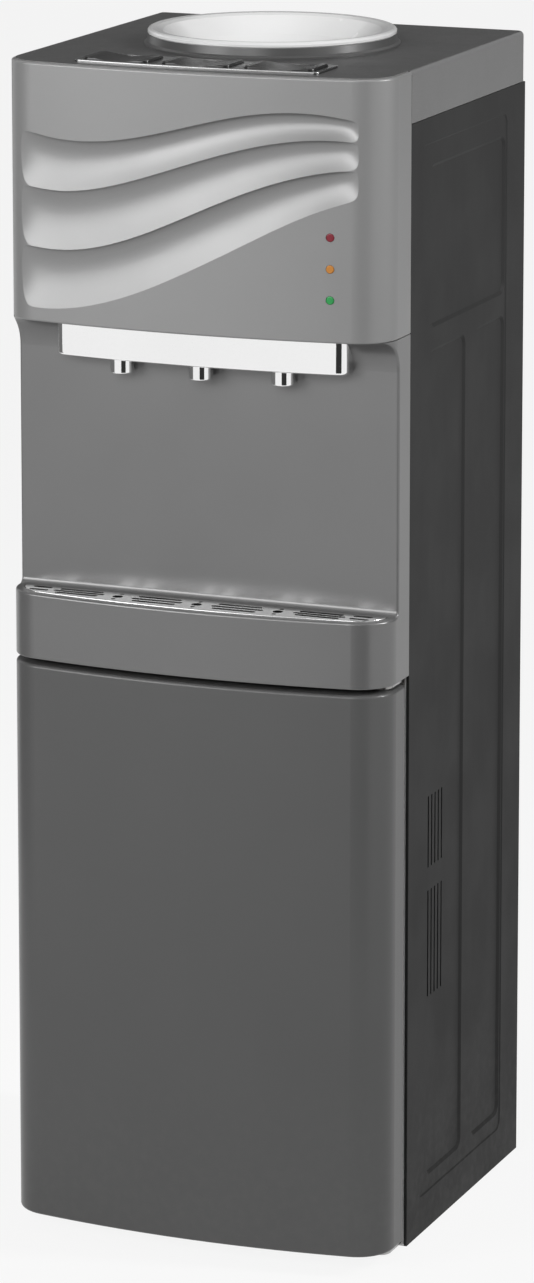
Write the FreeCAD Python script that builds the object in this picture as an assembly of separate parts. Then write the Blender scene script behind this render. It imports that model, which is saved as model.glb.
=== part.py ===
import FreeCAD, Part
import math
import os

# A free-standing water cooler that takes a large bottle upside down on a white seat in its top deck.
# Three push buttons along the front of the deck open three taps in a shallow niche, a drip tray
# lies under them, and a door closes the storage cabinet below.
# Units are millimetres. The front faces -Y, +Z is up, and the origin is on the floor under the middle.
# A depth, inset or setback is counted back from the crown of the bowed front, and a rise is a height
# above the bottom edge of the side panels unless it says otherwise.

V = FreeCAD.Vector
UP = V(0, 0, 1)
BACKWARD = V(0, 1, 0)
RIGHTWARD = V(1, 0, 0)

# ---- the body ----
WIDTH = 340.0            # over the side panels
DEPTH = 350.0            # from the crown of the front to the rear edges of the sides
BOW_RISE = 16.0          # how far the front bows out over its width
CORNER_R = 33.0          # upright front corners
SEAM_DEPTH = 74.0        # the front mouldings end here and the sides begin
WALL = 3.0               # mouldings
SHEET = 1.5              # steel sheets
SEAM = 0.6               # visible gap between two outer mouldings
FIT = 0.3                # gap between pieces that are pushed together
LAP = 0.1                # how far joined blocks of one piece run into each other
PIPE_GAP = 1.5           # round a pipe where it passes a plate

# the front from the floor up
FOOT_HEIGHT = 10.0
DOOR_LIFT = 7.0
DOOR_HEIGHT = 483.0
DOOR_GAP = 5.0
APRON_HEIGHT = 56.0
NICHE_HEIGHT = 232.0
UPPER_HEIGHT = 217.0
BAND_HEIGHT = 44.0       # band round the sides and back of the deck
RIM_DROP = 1.0           # the front panel's rim lies this far under the deck
DECK_EDGE_R = 4.0
BAND_CORNER_R = 6.0
FRONT_EDGE_R = 1.6
APRON_EDGE_R = 2.0
TAB_WIDTH = 6.0          # clips inside the front mouldings
TAB_DEPTH = 12.0
TAB_HEIGHT = 16.0
POST_WIDTH = 9.0         # posts inside the deck's band

# niche and drip tray
NICHE_DEPTH = 48.0
NICHE_TOP_R = 28.0
NICHE_FOOT_R = 5.0
POCKET_INSET = 7.0
POCKET_BACK_GAP = 5.5    # from the pocket's back wall to the niche wall
POCKET_DEPTH = 30.0
TRAY_GAP = 0.5
TRAY_WALL = 2.0
GRILLE_THICK = 2.5
GRILLE_PROUD = 0.5
GRILLE_EDGE_R = 0.7
OVAL_LENGTH = 46.0
OVAL_STEP = 7.0          # the outer ovals are this much shorter
OVAL_WIDTH = 4.6
OVAL_PITCH = 7.6
END_OVAL_LENGTH = 17.0
END_OVAL_MARGIN = 26.0   # from the body's side to the middle of the end ovals
DRAIN_HOLE_R = 4.4
DROP_HOLE_R = 2.0
DROP_HOLE_REACH = 9.0

# taps and buttons share one pitch
TAP_NAMES = ("hot", "room", "cold")
TAP_PITCH = 72.0
TAP_INSET = 35.0
SPOUT_R = 10.0
SPOUT_BORE_R = 5.0
SPOUT_DROP = 43.0        # under the niche's ceiling
SPOUT_FLANGE_R = 14.0
SPOUT_FLANGE = 3.0
FASCIA_MARGIN = 40.0     # from the body's side to the end of the bright bar
FASCIA_INSET = 21.0
FASCIA_THICK = 46.0
FASCIA_DROP = 31.0
FASCIA_END_R = 10.0
FASCIA_EDGE_R = 3.0
STUD_R = 2.5
STUD_HEAD_R = 5.0
STUD_HEAD = 2.0
TAP_BODY_R = 13.0
TAP_BODY_HEIGHT = 40.0
TAP_CHAMBER = 6.0
BARB_RISE = 22.0         # above the tap's base
BARB_R = 5.0
BARB_BORE_R = 3.0
BARB_LENGTH = 12.0
BUTTON_WIDTH = 60.0
BUTTON_INSET = 21.5
BUTTON_LENGTH = 38.0
BUTTON_CORNER_R = 6.0
BUTTON_PROUD = 4.0
BUTTON_THICK = 13.0
BUTTON_EDGE_R = 1.5
BUTTON_DISH = 2.2
BUTTON_GAP = 0.6
BEZEL_MARGIN = 5.0
BEZEL_RIB = 6.0          # outside the outer buttons
BEZEL_THICK = 2.0
BEZEL_CORNER_R = 5.0
BEZEL_EDGE_R = 0.8
WELL_MARGIN = 1.5
WELL_DEPTH = 34.0        # under the deck's lower face
WELL_WALL = 2.0
ROD_R = 3.0
ROD_GAP = 0.4
ROD_SOCKET = 5.0
ROD_LIFT = 14.0          # the rod's foot stands this far above the tap's base
SPRING_R = 7.0
SPRING_WIRE = 2.0

# bottle seat
SEAT_SETBACK = 192.0
DECK_HOLE_R = 98.5
COLLAR_STEP = 2.0        # the collar's bore is this much wider than the deck's hole
COLLAR_FOOT = 9.5        # its foot reaches this far beyond the hole
COLLAR_LIP = 6.0         # and its upper edge this far
COLLAR_HEIGHT = 9.0
SEAT_LIP = 6.5
SEAT_RIM_THICK = 5.0
SEAT_WALL = 2.5
BOWL_STEP = 12.5         # the bowl's edge lies this far inside the deck's hole
BOWL_DROP = 7.0          # and this far under the rim
NECK_BORE_R = 29.0
NECK_BORE_DROP = 55.0    # from the deck to the guide bore's mouth
NECK_BORE_LENGTH = 30.0
MOUTH = 5.0              # lead-in of the guide bore
CHAMBER_STEP = 2.5
CHAMBER_DEPTH = 23.0
OUTLET_R = 8.0
OUTLET_WALL = 2.0
OUTLET_GAP = 0.4
OUTLET_DIP = 5.0
PROBE_R = 9.0
PROBE_FLANGE_R = 16.0
PROBE_FLANGE = 2.0
PROBE_BORE_R = 5.0
PROBE_TIP = 8.0
PROBE_SLIT = 4.0

# the bowl's profile from its edge down: share of its radius beyond the bore, share of its depth
BOWL_PROFILE = ((1.0, 0.0), (0.815, 0.16), (0.67, 0.33), (0.52, 0.47), (0.30, 0.61), (0.075, 0.79))

# wave relief: heights of its four lines above the niche, at the stations across the width
WAVE_X = (-150.0, -100.0, -50.0, 0.0, 50.0, 100.0, 145.0)
WAVE_LINES = (
    (161.0, 154.0, 159.0, 171.0, 183.0, 187.5, 182.0),
    (115.0, 112.5, 123.5, 140.0, 155.5, 165.0, 165.0),
    (65.0, 63.5, 76.0, 97.0, 119.0, 135.5, 142.5),
    (13.0, 15.5, 29.5, 51.5, 77.0, 102.0, 118.0),
)
WAVE_DEPTH = 6.0
WAVE_LEFT = -156.0
WAVE_RIGHT = 150.0
WAVE_FADE = 26.0
WAVE_SECTIONS = 15
WAVE_BACKING = 10.0      # the panel is this thick behind the waves
BACKING_DROP = 20.0      # from the deck to the top of that backing

# indicator lamps: rises above the niche
LAMP_MARGIN = 45.5
LAMP_RISES = {"heating": 87.0, "cooling": 61.0, "power": 35.5}
LAMP_R = 3.5
LAMP_GAP = 0.1
LAMP_LENGTH = 13.0
LAMP_PROUD = 0.6
LAMP_EDGE_R = 0.9
BOARD_HALF = 9.0
BOARD_THICK = 1.6
BOARD_OVERLAP = 18.0
CHIP_HALF = 4.5
POST_OFFSET = 12.0
POST_R = 3.0

# side panels
SIDE_SHEET = 2.5
FIELD_DROP = 0.8
WINDOW_DROP = 1.8
PRESS_SLOPE = 1.6
PRESS_BACKING = 2.1      # thicker inside, so that the pressings don't break through
WINDOW_R = 10.0
FIELD_FRONT = 26.0       # behind the seam
FIELD_BACK = 44.0        # before the rear edge
FIELD_FLOOR = 32.0
FIELD_TOP = 21.0         # under the panel's upper edge
WINDOW_FRONT = 47.0      # behind the seam
WINDOW_BACK = 47.0
WINDOW_FLOOR = 46.0
WINDOW_TOP = 40.0
TOP_WINDOW_HEIGHT = 137.0
WINDOW_RIB = 18.0
FRONT_WINDOW_WIDTH = 86.0
REAR_WINDOW_WIDTH = 71.0
SLOT_ROWS = ((203.0, 296.0), (316.0, 378.0))
SLOT_COUNT = 5
SLOT_PITCH = 8.0
SLOT_FIRST = 53.0        # behind the seam
SLOT_WIDTH = 2.6
FRONT_FLANGE = 14.0
REAR_FLANGE = 20.0

# door
GASKET_THICK = 10.7
DOOR_SKIN = 2.5
DOOR_EDGE_R = 3.0
DOOR_LEDGE = 4.0         # inside the skin, for the inner panel
FIELD_MARGIN = 4.0
FIELD_HEIGHT = 7.0
FIELD_R = 10.0
HINGE_MARGIN = 12.0      # from the body's side
HINGE_DEPTH = 45.0
HINGE_PIN_R = 4.0
HINGE_PIN_GAP = 0.06
BUSH_R = 6.0
BUSH_LENGTH = 12.0
BUSH_GAP = 0.02
BOSS_WALL = 2.5
BRACKET = 2.5
BRACKET_GAP = 1.2
BRACKET_HALF = 8.0
BRACKET_LEG = 26.0
GASKET_WIDTH = 12.0
GASKET_SIDE = 16.0       # from the body's side
GASKET_OVERLAP = 10.0    # beyond the compartment's mouth
GASKET_FOLD = 3.0
FOOT_X_MARGIN = 45.0
FOOT_FRONT = 35.0        # behind the seam
FOOT_BACK = 40.0
FOOT_R = 17.0

# storage compartment
LINER_SIDE = 32.0        # from the body's side
LINER_DEPTH = 255.0
LINER_FLOOR_RISE = 45.0
LINER_ROOF_DROP = 20.0   # under the door's top edge
LINER_WALL = 2.0
LINER_FLANGE = 2.5
LINER_EDGE_R = 8.0
STEP_DEPTH = 190.0       # where the step over the compressor begins
STEP_RISE = 215.0
SHELF_RISE = 290.0
SHELF_RAIL = 8.0
RAIL_THICK = 4.0
SHELF_WIRE_R = 2.0
SHELF_BARS = 12
SHELF_REST = 0.05

# inner plates and the back
DECK_LIFT = 3.0
BACK_PANEL_RECESS = 25.0
BACK_PANEL_RISE = 215.0
PAN_EDGE = 24.0
SCREW_MARGIN = 12.0
SCREW_ROWS = 4
SCREW_R = 1.6
SCREW_LENGTH = 6.0
SCREW_HEAD_R = 3.6
SCREW_HEAD = 2.2

# tanks
COLD_TANK_R = 80.0
COLD_TANK_HEIGHT = 173.0
COLD_TANK_EDGE_R = 8.0
FOAM_FLOOR = 20.0
FOAM_LID = 14.0
FOAM_HALF = 104.0
FOAM_CORNER_R = 22.0
FOAM_CLEAR = 0.5
TANK_WALL = 1.2
COIL_DIAMETER = 7.0
COIL_LIFT = 20.0         # above the cold tank's bottom
COIL_HEIGHT = 90.0
HOT_TANK_R = 48.0
HOT_TANK_DEPTH = 210.0
HOT_TANK_HEIGHT = 130.0
HOT_TANK_LIFT = 20.0     # above the deck it stands on
HOT_TANK_TOP_R = 10.0
HOT_TANK_FOOT_R = 6.0
HOT_FOOT_R = 20.0
HOT_JACKET = 8.0
JACKET_DROP = 12.0
NECK_X = 20.0            # from the hot tank's axis
NECK_Y = -15.0
NECK_R = 6.0
NECK_RISE = 10.0
HOSE_WALL = 2.0
HOSE_BEND = 12.0
HOSE_GRIP = 0.05
HOT_OUTLET_DROP = 25.0
DRAIN_OUTLET_LIFT = 16.0
DRAIN_REACH = 21.0       # from the hot tank to the drain hose's fall
THERMOSTAT_R = 9.0
THERMOSTAT_THICK = 9.0
THERMOSTAT_SEAT = 1.0    # depth of the flat it sits on
THERMOSTAT_LIFTS = (45.0, 75.0)
TERMINAL_OFFSET = 4.0
TERMINAL_LENGTH = 8.0

# cooling circuit
COMPRESSOR_X = -25.0
COMPRESSOR_DEPTH = 273.0
COMPRESSOR_R = 58.0
COMPRESSOR_HEIGHT = 155.0
GROMMET_HEIGHT = 8.0
GROMMET_X = 70.0
GROMMET_Y = 33.0
GROMMET_R = 9.5
GROMMET_NECK_R = 6.0
STUB_X = -30.0
STUB_Y = 20.0
STUB_HEIGHT = 4.0
LINE_RISE = 13.0
LINE_STEP = 6.0
CONDENSER_STANDOFF = 11.5
CONDENSER_SIDE = 25.0
CONDENSER_RISE = 275.0
CONDENSER_PITCH = 42.0
CONDENSER_ROWS = 13
CONDENSER_BEND = 12.0
CONDENSER_LEAD = 23.0
CONDENSER_INNER = 15.0   # the runs end this far inside the two leads
STANDOFF_X = 90.0
STANDOFF_R = 4.0
PIPE_R = 2.5
CAPILLARY_R = 1.6
WIRE_R = 0.9
WIRE_PITCH = 10.0
WIRE_OVERLAP = 12.0
RISER_MARGIN = 18.0
DRIER_X = 118.0
DRIER_R = 9.5
DRIER_NECK_R = 3.2
DRIER_RISE = 50.0
DRIER_LENGTH = 122.0
LIQUID_DROP = 60.0
CAPILLARY_DROP = 18.0

# what passes the back panel
DRAIN_X = -110.0
GLAND_X = 120.0
OUTLET_RISE = 235.0
DRAIN_R = 8.0
DRAIN_FLANGE_R = 13.0
DRAIN_LENGTH = 12.0
DRAIN_INNER = 30.0
CAP_GAP = 3.0            # from the back panel to the cap
CAP_WALL = 3.5
CAP_END = 4.7
GLAND_R = 7.0
GLAND_BORE_R = 3.6
SWITCH_X = 95.0
SWITCH_DROP = 95.0
SWITCH_PITCH = 34.0
SWITCH_HALF_X = 7.0
SWITCH_HALF_Z = 11.0
SWITCH_TILT = 8.0
SWITCH_AXIS_DEPTH = 1.0
SWITCH_PLATE_X = 32.0
SWITCH_PLATE_Z = 15.0
SWITCH_RIM = 4.0
SWITCH_BLOCK = 20.0
TRUNNION_R = 1.5
TRUNNION_GAP = 0.06
TRUNNION_LENGTH = 2.0

# ---- values that follow from them ----
HALF = WIDTH / 2
FRONT = -DEPTH / 2
BACK = DEPTH / 2
BASE = FOOT_HEIGHT
DOOR_BOTTOM = BASE + DOOR_LIFT
DOOR_TOP = DOOR_BOTTOM + DOOR_HEIGHT
APRON_BOTTOM = DOOR_TOP + DOOR_GAP
APRON_TOP = APRON_BOTTOM + APRON_HEIGHT
NICHE_TOP = APRON_TOP + NICHE_HEIGHT
DECK = NICHE_TOP + UPPER_HEIGHT
BAND_BOTTOM = DECK - BAND_HEIGHT
SEAM_Y = FRONT + SEAM_DEPTH
BOW_R = (HALF ** 2 + BOW_RISE ** 2) / (2 * BOW_RISE)
BOW_CENTRE_Y = FRONT + BOW_R
CORNER_X = HALF - CORNER_R
CORNER_Y = BOW_CENTRE_Y - math.sqrt((BOW_R - CORNER_R) ** 2 - CORNER_X ** 2)
SIDE_INNER = HALF - SIDE_SHEET
CORE_HALF = SIDE_INNER - FIT
PLATE_HALF = SIDE_INNER - PRESS_BACKING
NICHE_WALL_Y = FRONT + NICHE_DEPTH
POCKET_BACK_Y = NICHE_WALL_Y - POCKET_BACK_GAP
POCKET_FLOOR = APRON_TOP - POCKET_DEPTH
TRAY_INSET = POCKET_INSET + TRAY_GAP
TRAY_BACK_Y = POCKET_BACK_Y - TRAY_GAP
TRAY_RIM = APRON_TOP + GRILLE_PROUD - GRILLE_THICK
BUTTON_BACK_INSET = BUTTON_INSET + BUTTON_LENGTH
WELL_FRONT = BUTTON_INSET - WELL_MARGIN
WELL_BACK = BUTTON_BACK_INSET + WELL_MARGIN
WELL_HALF = TAP_PITCH + BUTTON_WIDTH / 2 + WELL_MARGIN
WELL_FLOOR = DECK - WALL - WELL_DEPTH
BUTTON_TOP = DECK + BUTTON_PROUD
BUTTON_BOTTOM = BUTTON_TOP - BUTTON_THICK
CEILING_TOP = NICHE_TOP + WALL
TAP_BASE = CEILING_TOP + SPOUT_FLANGE
TAP_TOP = TAP_BASE + TAP_BODY_HEIGHT
BARB_Z = TAP_BASE + BARB_RISE
HOSE_R = BARB_R + HOSE_WALL
LAMP_X = HALF - LAMP_MARGIN
SEAT_Y = FRONT + SEAT_SETBACK
COLLAR_TOP = DECK + COLLAR_HEIGHT
SEAT_RIM_R = DECK_HOLE_R + SEAT_LIP
SEAT_TOP = COLLAR_TOP + SEAT_RIM_THICK
CHAMBER_R = NECK_BORE_R + CHAMBER_STEP
BORE_TOP = DECK - NECK_BORE_DROP
BORE_BOTTOM = BORE_TOP - NECK_BORE_LENGTH
CHAMBER_FLOOR = BORE_BOTTOM - CHAMBER_DEPTH
FOAM_TOP = CHAMBER_FLOOR - SEAT_WALL - FOAM_CLEAR
FOAM_FRONT = SEAT_Y - FOAM_HALF
FOAM_BACK = SEAT_Y + FOAM_HALF
COLD_TANK_TOP = FOAM_TOP - FOAM_LID
COLD_TANK_BOTTOM = COLD_TANK_TOP - COLD_TANK_HEIGHT
COIL_BOTTOM = COLD_TANK_BOTTOM + COIL_LIFT
COIL_TOP = COIL_BOTTOM + COIL_HEIGHT
INLET_R = OUTLET_R + OUTLET_WALL + OUTLET_GAP
TANK_SHELF_TOP = COLD_TANK_BOTTOM - FOAM_FLOOR
DECK_PLATE_Z = APRON_BOTTOM + DECK_LIFT
MID_TOP = DECK_PLATE_Z + SHEET
HOT_TANK_X = -TAP_PITCH
HOT_TANK_Y = FRONT + HOT_TANK_DEPTH
HOT_TANK_BOTTOM = MID_TOP + HOT_TANK_LIFT
HOT_TANK_TOP = HOT_TANK_BOTTOM + HOT_TANK_HEIGHT
HOT_OUTLET_Z = HOT_TANK_TOP - HOT_OUTLET_DROP
DRAIN_OUTLET_Z = HOT_TANK_BOTTOM + DRAIN_OUTLET_LIFT
HOT_HOSE_Y = FOAM_FRONT - HOSE_R - 1.0
DRAIN_HOSE_Y = HOT_TANK_Y + HOT_TANK_R + DRAIN_REACH
SUPPLY_X = HOT_TANK_X + NECK_X
SUPPLY_Y = HOT_TANK_Y + NECK_Y
HINGE_X = HALF - HINGE_MARGIN
HINGE_Y = FRONT + HINGE_DEPTH
DOOR_BACK = SEAM_Y - FIT - GASKET_THICK
LINER_HALF = HALF - LINER_SIDE
LINER_BACK = FRONT + LINER_DEPTH
LINER_FLOOR = BASE + LINER_FLOOR_RISE
LINER_TOP = DOOR_TOP - LINER_ROOF_DROP
STEP_Y = FRONT + STEP_DEPTH
STEP_TOP = BASE + STEP_RISE
SHELF_HEIGHT = BASE + SHELF_RISE
BACK_PANEL_Y = BACK - BACK_PANEL_RECESS
BACK_PANEL_FLOOR = BASE + BACK_PANEL_RISE
BACK_FACE = BACK_PANEL_Y + SHEET
INNER_BACK = BACK_PANEL_Y - SHEET - FIT
COMPRESSOR_Y = FRONT + COMPRESSOR_DEPTH
COMPRESSOR_FLOOR = BASE + SHEET + GROMMET_HEIGHT
COMPRESSOR_TOP = COMPRESSOR_FLOOR + COMPRESSOR_HEIGHT
CONDENSER_Y = BACK_FACE + CONDENSER_STANDOFF
CONDENSER_X = HALF - CONDENSER_SIDE
CONDENSER_FLOOR = BASE + CONDENSER_RISE
CONDENSER_FOOT = CONDENSER_FLOOR - CONDENSER_LEAD
RISER_X = HALF - RISER_MARGIN
RISER_Y = (FOAM_BACK + INNER_BACK) / 2
PIPE_BEND = 0.4 * (RISER_Y - FOAM_BACK)
DRIER_FLOOR = BASE + DRIER_RISE
OUTLET_HEIGHT = BASE + OUTLET_RISE
SWITCH_Z = DECK - SWITCH_DROP
SWITCH_AXIS_Y = BACK_FACE - SWITCH_AXIS_DEPTH


# ---- shape helpers ----
def box(x0, x1, y0, y1, z0, z1):
    """A block between two corners."""
    return Part.makeBox(x1 - x0, y1 - y0, z1 - z0, V(x0, y0, z0))


def side_box(side, x0, x1, y0, y1, z0, z1):
    """A block on the right, or its mirror image on the left."""
    if side < 0:
        x0, x1 = -x1, -x0
    return box(x0, x1, y0, y1, z0, z1)


def cylinder(radius, x, y, z0, z1):
    """An upright cylinder."""
    return Part.makeCylinder(radius, z1 - z0, V(x, y, z0), UP)


def rod_back(radius, x, z, y0, y1):
    """A cylinder that runs front to back."""
    return Part.makeCylinder(radius, y1 - y0, V(x, y0, z), BACKWARD)


def rod_across(radius, x0, x1, y, z):
    """A cylinder that runs left to right."""
    return Part.makeCylinder(radius, x1 - x0, V(x0, y, z), RIGHTWARD)


def sleeve(outer, inner, x, y, z0, z1):
    """An upright sleeve."""
    return cylinder(outer, x, y, z0, z1).cut(cylinder(inner, x, y, z0 - 1, z1 + 1))


def bow_y(x, inset=0.0):
    """Where the bowed front, moved in by inset, lies at x."""
    return BOW_CENTRE_Y - math.sqrt((BOW_R - inset) ** 2 - x ** 2)


def line(a, b):
    """A straight edge."""
    return Part.LineSegment(V(*a), V(*b)).toShape()


def arc(a, b, c):
    """A round edge from a through b to c."""
    return Part.Arc(V(*a), V(*b), V(*c)).toShape()


def plan_face(inset):
    """The body's plan, moved in by inset, as a flat face: bowed front, round corners, straight sides."""
    half = HALF - inset
    radius = CORNER_R - inset
    bow = BOW_R - inset
    lean = math.asin(CORNER_X / (BOW_R - CORNER_R))
    tangent_x, tangent_y = bow * math.sin(lean), BOW_CENTRE_Y - bow * math.cos(lean)
    middle = (lean + math.pi / 2) / 2
    mid_x, mid_y = CORNER_X + radius * math.sin(middle), CORNER_Y - radius * math.cos(middle)
    edges = [
        line((-half, BACK, 0), (-half, CORNER_Y, 0)),
        arc((-half, CORNER_Y, 0), (-mid_x, mid_y, 0), (-tangent_x, tangent_y, 0)),
        arc((-tangent_x, tangent_y, 0), (0, FRONT + inset, 0), (tangent_x, tangent_y, 0)),
        arc((tangent_x, tangent_y, 0), (mid_x, mid_y, 0), (half, CORNER_Y, 0)),
        line((half, CORNER_Y, 0), (half, BACK, 0)),
        line((half, BACK, 0), (-half, BACK, 0)),
    ]
    return Part.Face(Part.Wire(edges))


def plan_prism(inset, rear_y, z0, z1):
    """The body's plan, moved in by inset and cut off at rear_y, as an upright solid."""
    face = plan_face(inset)
    face.translate(V(0, 0, z0))
    return face.extrude(V(0, 0, z1 - z0)).common(box(-HALF, HALF, FRONT, rear_y, z0, z1))


def bow_band(front_inset, back_inset, half_width, z0, z1, x=0.0, corner=0.0):
    """A strip round x that follows the bow between two insets, with round corners."""
    disc = Part.makeCylinder(BOW_R - front_inset, z1 - z0, V(0, BOW_CENTRE_Y, z0), UP)
    core = Part.makeCylinder(BOW_R - back_inset, z1 - z0 + 2, V(0, BOW_CENTRE_Y, z0 - 1), UP)
    band = box(x - half_width, x + half_width, FRONT, 0, z0, z1).common(disc).cut(core)
    return round_upright(band, corner) if corner else band


def round_upright(shape, radius, keep=lambda p: True):
    """Fillets the upright edges whose middle passes the test."""
    chosen = []
    for edge in shape.Edges:
        size = edge.BoundBox
        upright = size.XLength < 1e-4 and size.YLength < 1e-4
        if upright and keep(size.Center):
            chosen.append(edge)
    return shape.makeFillet(radius, chosen)


def round_level(shape, radius, z, keep=lambda p: True):
    """Fillets the edges that lie at height z and whose middle passes the test."""
    chosen = []
    for edge in shape.Edges:
        size = edge.BoundBox
        level = abs(size.ZMin - z) < 1e-4 and abs(size.ZMax - z) < 1e-4
        middle = edge.valueAt((edge.FirstParameter + edge.LastParameter) / 2)
        if level and keep(middle):
            chosen.append(edge)
    return shape.makeFillet(radius, chosen)


def on_outline(point, slack=0.05):
    """Whether a point lies on the outside of the bowed plan."""
    x, y = abs(point.x), point.y
    if y >= CORNER_Y:
        return abs(x - HALF) < slack
    bow_gap = abs(math.hypot(x, y - BOW_CENTRE_Y) - BOW_R)
    corner_gap = abs(math.hypot(x - CORNER_X, y - CORNER_Y) - CORNER_R)
    return min(bow_gap, corner_gap) < slack


def revolve(points, x, y):
    """Turns an outline of (radius, height) points round an upright axis."""
    corners = [V(r, 0, h) for r, h in points]
    solid = Part.Face(Part.makePolygon(corners + corners[:1])).revolve(V(0, 0, 0), UP, 360)
    solid.translate(V(x, y, 0))
    return solid


def bent_wire(points, bend):
    """Straight runs through the points, with an arc of radius bend at each turn."""
    points = [V(*p) for p in points]
    edges = []
    start = points[0]
    for before, corner, after in zip(points, points[1:], points[2:]):
        a = (before - corner).normalize()
        b = (after - corner).normalize()
        half_turn = a.getAngle(b) / 2
        reach = bend / math.tan(half_turn)
        into, out = corner + a * reach, corner + b * reach
        middle = corner + (a + b).normalize() * (bend / math.sin(half_turn) - bend)
        edges.append(Part.LineSegment(start, into).toShape())
        edges.append(Part.Arc(into, middle, out).toShape())
        start = out
    edges.append(Part.LineSegment(start, points[-1]).toShape())
    return Part.Wire(edges)


def tube(points, radius, bend, bore=0.0):
    """A pipe or hose along bent runs, solid or with a bore."""
    wire = bent_wire(points, bend)
    direction = (V(*points[1]) - V(*points[0])).normalize()

    def swept(r):
        start = Part.Wire([Part.makeCircle(r, V(*points[0]), direction)])
        return wire.makePipeShell([start], True, False)

    pipe = swept(radius)
    return pipe.cut(swept(bore)) if bore else pipe


def tap_positions():
    """Name and place of each tap and its button."""
    for index, name in enumerate(TAP_NAMES):
        x = (index - 1) * TAP_PITCH
        yield name, x, bow_y(x, TAP_INSET)


# ---- front mouldings ----
def niche_space(grow=0.0):
    """The niche as a solid that runs right across the body, grown into the material."""
    x = -WIDTH
    far = FRONT - WIDTH
    wall = NICHE_WALL_Y + grow
    top, foot = NICHE_TOP + grow, APRON_TOP - grow
    top_y, top_z = NICHE_WALL_Y - NICHE_TOP_R, NICHE_TOP - NICHE_TOP_R
    foot_y, foot_z = NICHE_WALL_Y - NICHE_FOOT_R, APRON_TOP + NICHE_FOOT_R
    big = (NICHE_TOP_R + grow) * math.sqrt(0.5)
    small = (NICHE_FOOT_R + grow) * math.sqrt(0.5)
    edges = [
        line((x, far, foot), (x, far, top)),
        line((x, far, top), (x, top_y, top)),
        arc((x, top_y, top), (x, top_y + big, top_z + big), (x, wall, top_z)),
        line((x, wall, top_z), (x, wall, foot_z)),
        arc((x, wall, foot_z), (x, foot_y + small, foot_z - small), (x, foot_y, foot)),
        line((x, foot_y, foot), (x, far, foot)),
    ]
    return Part.Face(Part.Wire(edges)).extrude(V(2 * WIDTH, 0, 0))


def stud_places():
    """Where the bright bar is fixed through the niche's ceiling, between the taps and outside them."""
    for offset in (-1.5, -0.5, 0.5, 1.5):
        x = offset * TAP_PITCH
        yield x, bow_y(x, TAP_INSET)


def add_tabs(shell, heights):
    """Joins to a front moulding the clips that reach back to the side panels' flanges."""
    for side in (-1, 1):
        for z in heights:
            tab = side_box(side, HALF - WALL - TAB_WIDTH, HALF - WALL + LAP, SEAM_Y - TAB_DEPTH, SEAM_Y,
                           z, z + TAB_HEIGHT)
            shell = shell.fuse(tab)
    return shell


def make_dispensing_panel():
    """Side strips, niche wall, niche ceiling and the apron with the pocket for the drip tray."""
    rear = SEAM_Y - SEAM
    shell = plan_prism(0, rear, APRON_BOTTOM, NICHE_TOP)
    lid = plan_prism(WALL + FIT, rear, NICHE_TOP - 1, CEILING_TOP)
    shell = shell.fuse(lid).cut(niche_space())
    pocket_walls = plan_prism(WALL - LAP, POCKET_BACK_Y + TRAY_WALL, POCKET_FLOOR - TRAY_WALL, APRON_TOP)
    hollow = plan_prism(WALL, SEAM_Y + 20, APRON_BOTTOM - 1, CEILING_TOP + 1)
    shell = shell.cut(hollow.cut(niche_space(WALL)).cut(pocket_walls))
    shell = shell.cut(plan_prism(POCKET_INSET, POCKET_BACK_Y, POCKET_FLOOR, APRON_TOP + 1))
    for _, x, y in tap_positions():
        shell = shell.cut(cylinder(SPOUT_R + FIT, x, y, NICHE_TOP - NICHE_TOP_R, CEILING_TOP + 1))
    for x, y in stud_places():
        shell = shell.cut(cylinder(STUD_R + FIT, x, y, NICHE_TOP - NICHE_TOP_R, CEILING_TOP + 1))
    shell = round_level(shell, APRON_EDGE_R, APRON_TOP, on_outline)
    shell = round_level(shell, APRON_EDGE_R / 2, APRON_BOTTOM, on_outline)
    return add_tabs(shell, (APRON_BOTTOM + TAB_HEIGHT, NICHE_TOP - 3 * TAB_HEIGHT))


def wave_height(rises, x):
    """Height of a wave line at x: a smooth curve through its stations."""
    curve = Part.BSplineCurve()
    curve.interpolate([V(station, 0, NICHE_TOP + rise) for station, rise in zip(WAVE_X, rises)])
    x = min(max(x, WAVE_X[0]), WAVE_X[-1])
    low, high = curve.FirstParameter, curve.LastParameter
    for _ in range(40):
        middle = (low + high) / 2
        if curve.value(middle).x < x:
            low = middle
        else:
            high = middle
    return curve.value((low + high) / 2).z


def wave_section(x, upper, lower):
    """One upright cut through a wave's scooping tool: steep under the upper line, easy to the lower."""
    top, bottom = wave_height(upper, x), wave_height(lower, x) - 0.6
    height = top - bottom
    share = min(1.0, min(x - WAVE_LEFT, WAVE_RIGHT - x) / WAVE_FADE)
    lift = 1.0               # the tool's ends stay this far in front of the panel
    depth = (WAVE_DEPTH + lift) * share * share * (3 - 2 * share) - lift
    edge = min(depth, 0.0)
    outline = [
        (-3.0, 0.4), (edge, 0.0), (0.62 * depth, -0.09 * height), (0.97 * depth, -0.25 * height),
        (0.95 * depth, -0.45 * height), (0.62 * depth, -0.70 * height), (edge, -height),
        (-3.0, -1.22 * height),
    ]
    points = [V(x, bow_y(x) + dy, top + dz) for dy, dz in outline]
    scoop = Part.BSplineCurve()
    scoop.interpolate(points)
    out_y = bow_y(x) - 14.0
    far_top, far_bottom = V(x, out_y, points[0].z), V(x, out_y, points[-1].z)
    return Part.Wire([scoop.toShape(), line(points[-1], far_bottom), line(far_bottom, far_top),
                      line(far_top, points[0])])


def wave_cutter(upper, lower):
    """The tool that scoops one wave between two lines."""
    step = (WAVE_RIGHT - WAVE_LEFT) / (WAVE_SECTIONS - 1)
    sections = [wave_section(WAVE_LEFT + i * step, upper, lower) for i in range(WAVE_SECTIONS)]
    return Part.makeLoft(sections, True, False)


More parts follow.
